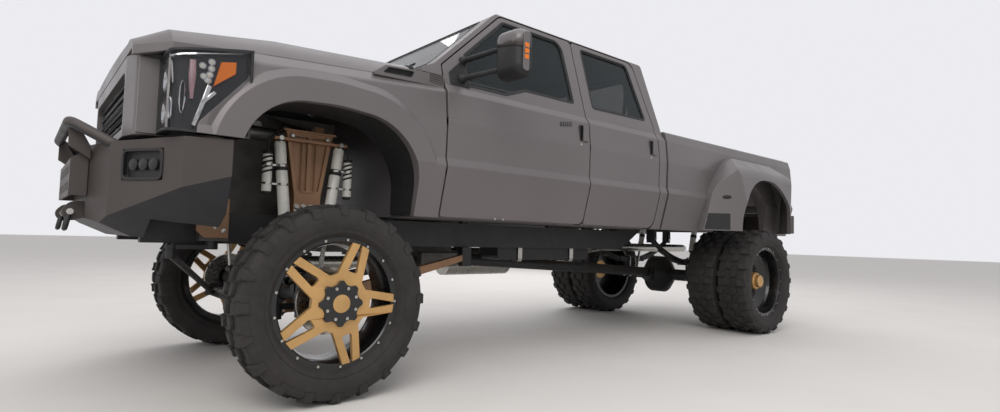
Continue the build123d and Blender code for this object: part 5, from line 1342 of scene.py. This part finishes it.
def coils_and_leaves():
    """Front coils with seats, rear leaf packs with shackles, clamps and U-bolts."""
    seats, packs, bolts = bmesh.new(), bmesh.new(), bmesh.new()
    for name, side in SIDES:
        coil = tube_along(f"coil_{name}", helix(at(side * COIL_X, 0, 0), 0.050, 0.612, 0.953, 6), 0.0085, 3,
                          order=4)
        settle(coil, "frame_black", replaces=("springs",) if side > 0 else (), sharp=60)
        for z, rows, sides in (
            (596, ((0, 20), (0, 64), (8, 64), (10, 40), (30, 34), (34, 20)), 28),
            (968, ((0, 20), (0, 64), (-8, 64), (-10, 40), (-30, 34), (-34, 20)), 28),
            (640, ((0, 10), (0, 22), (4, 26), (45, 26), (50, 18), (90, 18), (95, 10)), 20),
        ):
            spindle(seats, at(side * COIL_X, 0, z), UP, rows, sides)
        for i, reach in enumerate((LEAF_HALF, 600, 450)):
            rows = []
            for k in range(25):
                d = -reach + 2 * reach * k / 24
                upper, lower = leaf_height(d, i * LEAF_THICK), leaf_height(d, (i + 1) * LEAF_THICK - 1.5)
                rows.append([at(side * x, REAR_AXLE + d, z) for x, z in (
                    (381, upper - 1), (384, upper), (446, upper), (449, upper - 1),
                    (449, lower + 1), (446, lower), (384, lower), (381, lower + 1))])
            skin(packs, rows, caps=True)
        for s in (3620, 5141):
            spindle(packs, at(side * 380, s, 900), side * ACROSS, ((0, 10), (0, 24), (70, 24), (70, 10)),
                    28)
            spindle(bolts, at(side * 366, s, 900), side * ACROSS,
                    ((0, 6), (0, 15), (12, 15), (12, 9), (86, 9), (86, 15), (98, 15), (98, 6)), 12)
            for x in (368, 451):
                across_solid(seats, ((s - 26, 880, 20), (s - 20, 1000, 4), (s + 20, 1000, 4),
                                     (s + 26, 880, 20)),
                             side * x, side * (x + 9))
        for s in (4170, 4590):
            z = leaf_height(s - REAR_AXLE, 3 * LEAF_THICK)
            for x0, x1, rise in ((374, 456, 1), (374, 380, 62), (450, 456, 62)):
                slab(seats, side * x0, side * x1, s - 16, s + 16, z - 5, z + rise)
        slab(seats, side * 368, side * 462, 4310, 4450, 676, 692)
        for s in (4330, 4430):
            hose(f"u_bolt_{name}_{s}", [at(side * x, s, z) for x, z in (
                (372, 470), (372, 640), (372, 700), (415, 706), (458, 700), (458, 640), (458, 470))],
                0.0075, resolution=4)
        slab(seats, side * 362, side * 468, 4306, 4454, 466, 478)
        for x in (372, 458):
            for s in (4330, 4430):
                spindle(bolts, at(side * x, s, 452), UP, ((0, 4), (0, 8.5), (6, 14.5), (16, 14.5), (16, 8)),
                        6)
    add("spring_seats", seats, "frame_black", bevel=0.001)
    add("leaf_packs", packs, "frame_black", sharp=40)
    add("spring_bolts", bolts, "bare_steel")


def tower_details():
    """Ribs, welds and bolts of the spring towers, and of the bracket over the steering box."""
    rib, bolts = bmesh.new(), bmesh.new()
    for side in (1, -1):
        for s in (-40, 40):
            slab(rib, side * 569, side * 575, s - 4, s + 4, 1100, 1395)
        slab(rib, side * 569, side * 574, -46, 46, 1092, 1100)
        lower = [(s * 0.62, z, ((-2, 18), (2, 18), (2, 13), (12, 13), (14, 10), (14, 1)))
                 for s in (-100, -34, 34, 100) for z in (982, 1010)]
        upper = [(s, 1415, ((-2, 13), (10, 13), (12, 10), (12, 1))) for s in (-104, 104)]
        for s, z, rows in lower + upper:
            spindle(bolts, landing("spring_towers", at(side * 900, s, z), -side * ACROSS)[0], side * ACROSS,
                    rows, 6)
    for s, z in ((-480, 880), (-480, 990), (-440, 860), (-440, 1000)):
        spindle(bolts, at(557, s, z), ACROSS, ((-2, 14), (3, 14), (3, 10), (11, 10), (12, 8), (12, 1)), 6)
    add("tower_ribs", rib, "bronze", bevel=0.001)
    add("tower_bolts", bolts, "bare_steel")


def brakes():
    """Discs and calipers of the front wheels."""
    for name, side in SIDES:
        axle, _, _, inner = tyre_place(f"tyre_front_{name}", side)
        hub_x = inner + side * 0.118
        bm = bmesh.new()
        turned(bm, hub_x, side, ((0, 80), (0, 176), (10, 178), (12, 150), (22, 150), (24, 178), (34, 176),
                                 (34, 80)),
               axle, 72, closed=True)
        add(f"brake_disc_{name}", bm, "bare_steel", f"wheel_front_{name}")
        bm = bmesh.new()
        mean = 0.160
        skin(bm, [[on_axis(hub_x + side * x, mean + (r - mean) * grow, math.pi / 2 + a * grow, axle)
                   for r, angles in ((0.196, (-0.46, -0.3, -0.1, 0.1, 0.3, 0.46)),
                                     (0.122, (0.40, 0.2, -0.2, -0.40)))
                   for a in angles] for x, grow in ((-0.040, 0.8), (-0.034, 1.0), (0.062, 1.0),
                                                    (0.068, 0.8))],
             caps=True)
        add(f"brake_caliper_{name}", bm, "cast_metal", f"knuckle_{name}", bevel=0.003)


def underside():
    """Tank straps, exhaust clamps and hangers."""
    black, steel = bmesh.new(), bmesh.new()
    wide = BACK * 0.022
    for s in (1850, 2460):
        points = [at(x, s, z) for x, z in ((142, 946), (142, 700), (150, 682), (380, 682), (388, 700),
                                           (388, 946))]
        for a, b in zip(points, points[1:]):
            thick = (b - a).cross(wide).normalized() * 0.003
            skin(steel, [ribbon(p, wide, thick) for p in (a, b)], caps=True)
    for s in (1530, 2270, 3050):
        spindle(steel, at(-287, s - 18, 650), BACK, ((0, 46), (0, 51), (6, 53), (30, 53), (36, 51),
                                                     (36, 46)), 28)
        rod(black, at(-287, s, 700), at(-330, s, 790), 0.006, 10)
    add("frame_fastenings", steel, "bare_steel")
    add("exhaust_hangers", black, "black_plastic", sharp=50)


# Cabin
SEAT_LOW = 1192
DASH_VENTS = (-690, -240, 190, 690)
WHEEL_RADIUS = 0.190


def cushion(name, rows, crown, seams):
    """Closed padded form from sections of (centre, half width vector, half thickness vector)."""
    bm = bmesh.new()
    loops = []
    for centre, wide, thick in rows:
        loop = []
        for a in turns(48):
            ca, sa = math.cos(a), math.sin(a)
            # a rounded rectangle with a fuller upper side
            u = math.copysign(abs(ca) ** 0.42, ca)
            v = math.copysign(abs(sa) ** 0.55, sa)
            lift = crown * (1 - abs(u) ** 2.2) * max(0.0, v)
            for seam in seams:
                lift -= 0.010 * math.exp(-((u - seam) / 0.035) ** 2) * max(0.0, v)
            loop.append(centre + wide * u + thick * v + thick.normalized() * lift)
        loops.append(loop)
    skin(bm, loops, caps=True)
    obj = from_bmesh(name, bm)
    soft = obj.modifiers.new("soft", "SUBSURF")
    soft.levels = soft.render_levels = 1
    fold = bpy.data.textures.new(name, "CLOUDS")
    fold.noise_scale = 0.09
    crease = obj.modifiers.new("creases", "DISPLACE")
    crease.texture = fold
    crease.strength = 0.006
    crease.texture_coords = "GLOBAL"
    return obj


def pad_rows(start, end, wide, thick, channels=(), count=26):
    """Sections from start to end whose ends close softly, with channels pressed across."""
    rows = []
    for k in range(count + 1):
        ease = 0.5 - 0.5 * math.cos(math.pi * k / count)
        closing = min(1.0, math.sqrt(max(0.0, 1 - (2 * ease - 1) ** 8)) + 0.02)
        narrow = 0.90 + 0.10 * min(1.0, math.sqrt(max(0.0, 1 - (2 * ease - 1) ** 6)))
        press = sum(math.exp(-((ease - c) / 0.018) ** 2) for c in channels)
        rows.append((start + (end - start) * ease, wide * narrow * (0.25 + 0.75 * closing),
                     thick * (1 - 0.16 * press) * closing))
    return rows


def seat(name, side, x0, x1, s, heads, seams):
    """One seat or bench: cushion, backrest and head restraints."""
    def spot(x, ds, dz):
        return at(x, s + ds, SEAT_LOW + dz)
    middle, half = side * (x0 + x1) / 2, ACROSS * ((x1 - x0) / 2 * MM)
    lean = spot(0, 606, 690) - spot(0, 500, 60)
    normal = Vector((0, -lean.z, lean.y)).normalized()
    objects = [
        cushion(f"seat_cushion_{name}", pad_rows(spot(middle, 4, 68), spot(middle, 500, 62), half,
                                                 UP * 0.068,
                                                 (0.3, 0.52, 0.74)), 0.020, seams),
        cushion(f"seat_back_{name}", pad_rows(spot(middle, 508, 40), spot(middle, 600, 692), half,
                                              normal * 0.062,
                                              (0.24, 0.42, 0.60, 0.78)), 0.018, seams)]
    for k, x in enumerate(heads):
        rows = pad_rows(spot(side * x, 606, 708), spot(side * x, 618, 852), ACROSS * 0.126, normal * 0.044,
                        count=16)
        objects.append(cushion(f"headrest_{name}_{k}", rows, 0.010, (-0.55, 0.55)))
    for obj in objects:
        settle(obj, "cabin_leather", replaces=("seat_set",), sharp=180)


def seats():
    """Two front seats, the rear bench, their posts, rails and belts."""
    for name, side in SIDES:
        seat(f"front_{name}", side, 170, 690, 1280, (430,), (-0.62, 0.62))
    seat("rear_bench", 1, -690, 690, 2130, (-430, 430), (-0.80, -0.42, 0.0, 0.42, 0.80))
    bm = bmesh.new()
    for x, s in ((430, 1280), (-430, 1280), (430, 2130), (-430, 2130)):
        for dx in (-55, 55):
            rod(bm, at(x + dx, s + 600, 1860), at(x + dx, s + 608, 1925), 0.006, 12)
    for side in (1, -1):
        for x in (240, 620):
            slab(bm, side * x - 18, side * x + 18, 1290, 1770, 1108, 1130)
            for s in (1320, 1740):
                slab(bm, side * x - 14, side * x + 14, s - 20, s + 20, 1128, 1196)
        spindle(bm, at(side * 696, 1770, 1300), side * ACROSS,
                ((0, 18), (4, 45), (12, 47), (16, 30), (18, 4)), 28)
    add("seat_hardware", bm, "frame_black", bevel=0.001)
    bm = bmesh.new()
    for side in (1, -1):
        for s, x in ((1930, 700), (2760, 730)):
            points = [at(side * x, s, 2280), at(side * (x - 12), s - 30, 1800),
                      at(side * (x - 6), s - 60, 1240)]
            for a, b in zip(points, points[1:]):
                skin(bm, [ribbon(p, BACK * 0.023, ACROSS * (side * 0.001)) for p in (a, b)], caps=True)
    add("seat_belts", bm, "frame_black")


def dash_details():
    """Instrument hood, dials, vents, screen, knobs, glove box and column levers."""
    trim, dark, pale = bmesh.new(), bmesh.new(), bmesh.new()
    face = facing_back(DASH_FACE)
    across_solid(dark, ((640, 1838, 0), (640, 1868, 14), (862, 1886, 24), (888, 1850, 14), (888, 1838, 0)),
                 250, 610)
    for x, z, radius in ((350, 1788, 58), (510, 1788, 58), (430, 1760, 30)):
        spindle(pale, at(x, DASH_FACE - 2, z), BACK, ((0, radius), (10, radius), (14, radius - 4),
                                                      (8, radius - 7)), 40)
        spindle(dark, at(x, DASH_FACE - 4, z), BACK, ((0, radius - 6), (7, radius - 6), (8, 4)), 40)
        rod(pale, at(x, DASH_FACE + 6, z), at(x - radius * 0.5, DASH_FACE + 6, z + radius * 0.5), 0.0012, 6)
    for x in DASH_VENTS:
        frame_band(trim, oblong(x - 52, x + 52, 1745, 1815, 12), 6, face, -4, 5)
        for k in range(5):
            slab(dark, x - 46, x + 46, DASH_FACE - 6, DASH_FACE + 4, 1752 + 12 * k, 1757 + 12 * k)
    screen = oblong(-105, 105, 1640, 1735, 10)
    pad(dark, screen, face, -3, 7, shrink=2)
    frame_band(trim, screen, 6, facing_back(DASH_FACE + 6), 0, 2.5)
    for x in (-85, 0, 85):
        spindle(trim, at(x, DASH_FACE, 1590), BACK, ((0, 24), (4, 24), (6, 19), (22, 17), (24, 14),
                                                     (24, 2)), 32)
    pad(dark, oblong(-640, -260, 1540, 1690, 16), face, -3, 4, shrink=2)
    slab(trim, -480, -420, DASH_FACE + 2, DASH_FACE + 8, 1660, 1672)
    for side in (1, -1):
        rod(dark, at(430 - side * 30, 895, 1625), at(430 - side * 150, 918, 1668), 0.007, 12, 0.010)
    add("dash_trim", trim, "bare_steel", bevel=0.0008)
    add("dash_inserts", dark, "dash_plastic", bevel=0.001)
    add("dash_dials", pale, "lamp_pale", slot="white_paint")


def steering_wheel():
    """Rim with grip lugs, padded hub and four spokes."""
    centre = at(430, 1010, 1650)
    tilt = math.radians(28)
    axis = Vector((0, math.cos(tilt), math.sin(tilt)))
    v = axis.cross(ACROSS)
    bm = bmesh.new()
    loops = []
    for a in turns(72):
        out = ACROSS * math.cos(a) + v * math.sin(a)
        grip = 0.0165 + 0.0012 * math.sin(6 * a) ** 8
        loops.append([centre + out * (WHEEL_RADIUS + grip * math.cos(b)) + axis * grip * math.sin(b)
                      for b in turns(14)])
    skin(bm, loops, closed=True)
    section = ((-1, -0.6), (-0.7, -1), (0.7, -1), (1, -0.6), (1, 0.6), (0.7, 1), (-0.7, 1), (-1, 0.6))
    for a in (math.radians(d) for d in (12, 168, 248, 292)):
        out = ACROSS * math.cos(a) + v * math.sin(a)
        beside = axis.cross(out)
        rows = []
        for r, half, sink in ((0.050, 0.028, 0.022), (0.090, 0.020, 0.020), (0.140, 0.015, 0.010),
                              (0.186, 0.018, 0.002)):
            p = centre + out * r - axis * sink
            rows.append([p + beside * half * across + axis * 0.008 * along for across, along in section])
        skin(bm, rows, caps=True)
    spindle(bm, centre - axis * 0.055, axis, ((0, 30), (10, 62), (30, 70), (44, 66), (52, 52), (55, 30),
                                              (56, 2)), 40)
    add("steering_rim", bm, "cabin_leather", "steering_wheel", replaces=("steering_wheel",), sharp=40)


# Doors inside, engine bay and rear
def door_cards():
    """Inner door panels with armrest, pull, speaker and pocket."""
    for name, side in SIDES:
        for which, s0, s1 in (("front", 850, 1800), ("rear", 2110, 2760)):
            body = f"door_{which}_{name}"
            middle = (s0 + s1) / 2
            wall = landing(f"door_panel_{which}_{name}", at(side * 300, middle, 1500), side * ACROSS)[0]
            face = flat_at(side * (abs(wall.x) / MM if abs(wall.x) > 0.5 else 930))
            bm = bmesh.new()
            pad(bm, rounded_rows(((s0, 1130, 40), (s0 + 20, 1730, 40), (s1 - 10, 1760, 40),
                                  (s1, 1130, 40))),
                face, 1, -7, shrink=4)
            sound = s0 + 150
            frame_band(bm, [Vector(p) for p in circle(80, 36, centre=(sound, 1235))], 8, face, -6, -14)
            mesh_x = face(0, 0, -8).x / MM
            for k in range(7):
                reach = 66 - abs(k - 3) * 8
                slab(bm, mesh_x - 2, mesh_x + 2, sound - reach, sound + reach, 1181 + 18 * k, 1185 + 18 * k)
            frame_band(bm, oblong(s0 + 270, s1 - 90, 1150, 1250, 24), 10, face, -6, -22)
            frame_band(bm, oblong(middle + 80, middle + 190, 1600, 1650, 10), 5, face, -6, -12)
            add(f"door_card_{which}_{name}", bm, "dash_plastic", body)
            bm = bmesh.new()
            section = ((0, -40), (38, -34), (54, -8), (54, 18), (44, 34), (20, 40), (0, 40))
            skin(bm, [[face(s, 1440 + dz * size, -lift * size - 4) for lift, dz in section] for s, size in (
                (s0 + 150, 0.3), (s0 + 170, 0.8), (s0 + 230, 1.0), (s1 - 180, 1.0), (s1 - 110, 0.8),
                (s1 - 90, 0.3))],
                 caps=True)
            add(f"armrest_{which}_{name}", bm, "cabin_leather", body, bevel=0.006, segments=3)


def fan_and_radiator(dark, metal):
    """Shroud ring, fan with nine blades, and the radiator's edges and fins."""
    fan = at(0, -600, 1290)
    skin(dark, [[fan + BACK * d + Vector((math.cos(a), 0, math.sin(a))) * r for a in turns(60)]
                for d, r in ((-0.040, 0.285), (0.030, 0.275), (0.034, 0.262), (-0.036, 0.262))],
         closed=True)
    spindle(metal, fan, BACK, ((-20, 30), (-16, 60), (30, 62), (36, 45), (36, 4)), 32)
    for a in turns(9):
        out, beside = Vector((math.cos(a), 0, math.sin(a))), Vector((-math.sin(a), 0, math.cos(a)))
        rows = []
        for r, half, twist in ((0.055, 0.024, 0.55), (0.15, 0.036, 0.42), (0.252, 0.044, 0.30)):
            chord = (beside * math.cos(twist) + BACK * math.sin(twist)) * half
            thick = (BACK * math.cos(twist) - beside * math.sin(twist)) * 0.002
            rows.append(ribbon(fan + out * r, chord, thick))
        skin(dark, rows, caps=True)
    for x0, x1, z0, z1 in ((-716, 716, 1585, 1612), (-716, -690, 965, 1590), (690, 716, 965, 1590)):
        slab(metal, x0, x1, -724, -646, z0, z1)
    for k in range(40):
        z = 985 + 15 * k
        slab(metal, -688, 688, -722.5, -719, z, z + 2)


def engine_bay():
    """Engine cover, filter box, batteries, reservoir, booster, hoses and the fan in its shroud."""
    dark, metal, pale = bmesh.new(), bmesh.new(), bmesh.new()
    across_solid(dark, ((-470, 1556, 10), (-480, 1600, 26), (-300, 1622, 60), (120, 1622, 60),
                        (190, 1590, 26),
                        (190, 1556, 10)), -215, 215)
    for x in range(-150, 151, 60):
        across_solid(dark, ((-420, 1612, 4), (-300, 1630, 10), (110, 1630, 10), (150, 1600, 4)), x - 9,
                     x + 9)
    for side in (1, -1):
        for s in range(-400, 111, 170):
            rod(metal, at(side * 225, s, 1520), at(side * 345, s, 1490), 0.024, 20)
            rod(metal, at(side * 334, s - 40, 1455), at(side * 334, s + 40, 1455), 0.030, 20)
        rod(metal, at(side * 352, -470, 1440), at(side * 352, 200, 1440), 0.038, 24)
        # batteries
        across_solid(dark, ((-645, 1420, 8), (-645, 1590, 8), (-480, 1590, 8), (-480, 1420, 8)), side * 570,
                     side * 745)
        slab(metal, side * 560, side * 755, -655, -470, 1406, 1420)
        slab(metal, side * 640, side * 662, -652, -473, 1590, 1596)
        for x in (600, 715):
            spindle(metal, at(side * x, -510, 1588), UP, ((0, 11), (10, 11), (18, 9), (18, 2)), 16)
    across_solid(pale, ((70, 1545, 24), (60, 1660, 30), (230, 1672, 30), (240, 1545, 24)), 600, 745)
    spindle(dark, at(672, 150, 1664), UP, ((0, 30), (22, 30), (28, 26), (28, 4)), 28)
    across_solid(dark, ((-30, 1540, 20), (-40, 1650, 30), (250, 1665, 30), (260, 1540, 20)), -790, -560)
    for k in range(5):
        slab(dark, -780 + 46 * k, -766 + 46 * k, -20, 240, 1655, 1668)
    # brake booster and its cylinder
    for rows in (((0, 100), (20, 125), (60, 125), (90, 100), (100, 50)), ((90, 30), (200, 30), (210, 22))):
        spindle(dark, at(430, 545, 1650), -BACK, rows, 36)
    slab(pale, 400, 460, 370, 470, 1682, 1722)
    fan_and_radiator(dark, metal)
    add("engine_plastics", dark, "black_plastic", sharp=40, bevel=0.0015)
    add("engine_castings", metal, "aluminium_core", sharp=40)
    add("engine_tanks", pale, "white_paint", sharp=40, bevel=0.002)
    for k, (points, radius) in enumerate((
        (((210, -645, 1560), (210, -560, 1580), (150, -500, 1560), (120, -440, 1520)), 0.024),
        (((-560, 100, 1610), (-450, 90, 1640), (-300, 0, 1650), (-200, -60, 1610)), 0.045),
        (((672, 60, 1580), (640, -100, 1560), (500, -300, 1560), (300, -640, 1540)), 0.012),
        (((650, -480, 1560), (560, -300, 1530), (420, -100, 1500), (330, 60, 1500)), 0.009),
        (((-620, -480, 1560), (-480, -200, 1520), (-380, 200, 1500), (-260, 420, 1480)), 0.009),
    )):
        hose(f"engine_hose_{k}", [at(*p) for p in points], radius, "black_plastic")


def bed_details():
    """Ribs of the bed's floor, rail caps, tie-down loops and tailgate fittings."""
    ribs, caps, steel, gate = bmesh.new(), bmesh.new(), bmesh.new(), bmesh.new()
    for x in range(-600, 601, 120):
        along_solid(ribs, ((x - 30, 1321, 0), (x - 20, 1331, 4), (x + 20, 1331, 4), (x + 30, 1321, 0)),
                    3040, 5415)
    for name, side in SIDES:
        along_solid(caps, ((side * 878, 1824, 2), (side * 878, 1836, 4), (side * 946, 1836, 6),
                           (side * 952, 1826, 3)),
                    3012, 5400)
        for s in (3200, 5250):
            hose(f"tie_down_{name}_{s}", [at(side * (872 - d), s + ds, 1480 + dz) for d, ds, dz in (
                (-6, -28, 0), (8, -28, 0), (16, -24, -10), (18, 0, -22), (16, 24, -10), (8, 28, 0),
                (-6, 28, 0))],
                0.005)
            slab(steel, side * 880, side * 876, s - 45, s + 45, 1462, 1500)
    along_solid(gate, ((-762, 1822, 2), (-762, 1832, 3), (762, 1832, 3), (762, 1822, 2)), 5402, 5458)
    frame_band(gate, oblong(-130, 130, 1740, 1800, 8), 7, facing_back(5462), -16, 3, outward=3)
    pad(gate, oblong(-104, 104, 1750, 1788, 8), facing_back(5444), -2, 13, shrink=4)
    add("bed_ribs", ribs, "bed_liner")
    add("rail_caps", caps, "black_plastic")
    add("tie_down_plates", steel, "bare_steel")
    add("tailgate_handle", gate, "black_plastic", "tailgate", bevel=0.001)


def rear_details():
    """Tail lamps in fields, high brake lamp, step pads, hitch receiver and plate lights."""
    shell, red, clear, dark, steel = (bmesh.new() for _ in range(5))
    place = facing_back(5480)
    for name, side in SIDES:
        outline = rounded_rows(((892, 1342, 20), (892, 1738, 20), (986, 1733, 24), (1001, 1347, 20)))
        pad(shell, flipped(side, outline), place, -3, 10, shrink=2)
        for bm, z0, z1 in ((red, 1352, 1466), (clear, 1476, 1592), (red, 1602, 1728)):
            field = rounded_rows(((900, z0, 12), (900, z1, 12), (982 - (z1 - 1350) * 0.03, z1, 14),
                                  (991 - (z0 - 1350) * 0.03, z0, 14)))
            pad(bm, flipped(side, field), place, 9, 18, shrink=3)
            for k in range(6):
                slab(shell, side * (908 + 14 * k), side * (910 + 14 * k), 5489, 5492, z0 + 10, z1 - 10)
        for k in range(6):
            slab(dark, side * 646, side * 894, 5546 + 12 * k, 5553 + 12 * k, 1205, 1212)
        slab(dark, side * 642, side * 898, 5542, 5618, 1203, 1207)
        spindle(clear, at(side * 205, 5648, 1150), BACK, ((0, 14), (6, 14), (10, 9), (10, 1)), 20)
        hose(f"chain_loop_{name}", [at(side * x, s, z) for x, s, z in (
            (70, 5600, 960), (95, 5612, 930), (120, 5606, 925), (135, 5596, 960))], 0.006)
    pane = on_pane(REAR_PANE_LINE, -1)
    lamp = oblong(-190, 190, 2392, 2420, 10)
    pad(shell, lamp, pane, -4, 5, shrink=1.5)
    pad(red, inset(lamp, 5), pane, 4, 9, shrink=2)
    # hitch receiver and its collar
    for x0, x1, z0, z1 in ((-38, 38, 926, 934), (-38, 38, 994, 1002), (-38, -30, 934, 994),
                           (30, 38, 934, 994)):
        slab(steel, x0, x1, 5380, 5640, z0, z1)
    for x0, x1, z0, z1 in ((-46, 46, 1002, 1008), (-46, -38, 922, 1006), (38, 46, 922, 1006)):
        slab(steel, x0, x1, 5618, 5640, z0, z1)
    frame_band(dark, oblong(-158, 158, 1070, 1165, 8), 8, facing_back(5648), -1, 6)
    add("tail_lamp_housings", shell, "lamp_dark", replaces=("tail_lamps",), slot="black_plastic")
    add("tail_lamp_red", red, "red_lens")
    add("tail_lamp_clear", clear, "lamp_pale")
    add("bumper_steps", dark, "black_plastic", bevel=0.001)
    add("hitch_receiver", steel, "frame_black", bevel=0.0015)


# Camera, lights and floor
def look_matrix():
    """The camera's place and turn, from its yaw, pitch and roll."""
    yaw, pitch, roll = (math.radians(a) for a in (CAMERA_YAW, CAMERA_PITCH, CAMERA_ROLL))
    ahead = Vector((-math.cos(pitch) * math.cos(yaw), math.cos(pitch) * math.sin(yaw), math.sin(pitch)))
    right = ahead.cross(UP).normalized()
    up = right.cross(ahead)
    right, up = right * math.cos(roll) + up * math.sin(roll), up * math.cos(roll) - right * math.sin(roll)
    turn = Matrix((right, up, -ahead)).transposed().to_4x4()
    return Matrix.Translation(CAMERA_PLACE) @ turn


def make_camera():
    data = bpy.data.cameras.new("camera")
    data.sensor_width = SENSOR_MM
    data.lens = CAMERA_FOCAL_PX / PHOTO_WIDTH_PX * SENSOR_MM
    camera = new_object("camera", data)
    camera.matrix_world = look_matrix()
    bpy.context.scene.camera = camera


def make_light(name, place, target, size, power, colour=(1, 1, 1)):
    data = bpy.data.lights.new(name, "AREA")
    data.shape = "RECTANGLE"
    data.size, data.size_y = size
    data.energy = power
    data.color = colour
    lamp = new_object(name, data)
    lamp.location = place
    lamp.rotation_euler = (Vector(target) - Vector(place)).to_track_quat("-Z", "Y").to_euler()


def make_world():
    """Plain pale world, dimmer for diffuse light than where it is seen or mirrored."""
    world = bpy.data.worlds.new("world")
    bpy.context.scene.world = world
    world.use_nodes = True
    tree = world.node_tree
    background = tree.nodes["Background"]
    background.inputs["Color"].default_value = linear((236, 236, 240))
    rays = tree.nodes.new("ShaderNodeLightPath")
    seen = rays.outputs["Is Camera Ray"]
    for kind in ("Is Glossy Ray", "Is Transmission Ray"):
        either = tree.nodes.new("ShaderNodeMath")
        either.operation = "MAXIMUM"
        tree.links.new(seen, either.inputs[0])
        tree.links.new(rays.outputs[kind], either.inputs[1])
        seen = either.outputs[0]
    strength = tree.nodes.new("ShaderNodeMapRange")
    strength.inputs["To Min"].default_value = 0.72
    strength.inputs["To Max"].default_value = 1.0
    tree.links.new(seen, strength.inputs["Value"])
    tree.links.new(strength.outputs["Result"], background.inputs["Strength"])


def make_stage():
    """Pale floor, plain world and soft lights."""
    bpy.context.scene.view_settings.view_transform = "Standard"
    bm = bmesh.new()
    bmesh.ops.create_grid(bm, x_segments=1, y_segments=1, size=60)
    floor = from_bmesh("floor", bm)
    n = Nodes("floor")
    n.dress(Base_Color=n.mix(n.spread(n.noise(1.2, 5.0), 0.0, 1.0), (219, 215, 210), (224, 220, 215)),
            Roughness=0.75)
    floor.data.materials.append(n.material)
    make_world()
    make_light("key", (6.5, -6.5, 7.5), (0, 0, 1.2), (7, 6), 480, (1.0, 0.98, 0.95))
    make_light("overhead", (0.5, -0.5, 9.0), (0, 0, 0), (9, 12), 260, (0.95, 0.97, 1.0))
    make_light("rear", (-7.0, 6.0, 5.5), (0, 0, 1.0), (6, 5), 220)

for build in (
    dress_nodes, build_tyres, front_wheels, rear_wheels, head_lamps, grille_details, bumper_details,
    cowl_and_wipers, pane_borders, door_trim, side_mirrors, vent_trim, flare_trim, roof_lamps, front_shocks,
    coils_and_leaves, tower_details, brakes, underside, seats, dash_details, steering_wheel, door_cards,
    engine_bay, bed_details, rear_details, make_camera, make_stage,
):
    build()
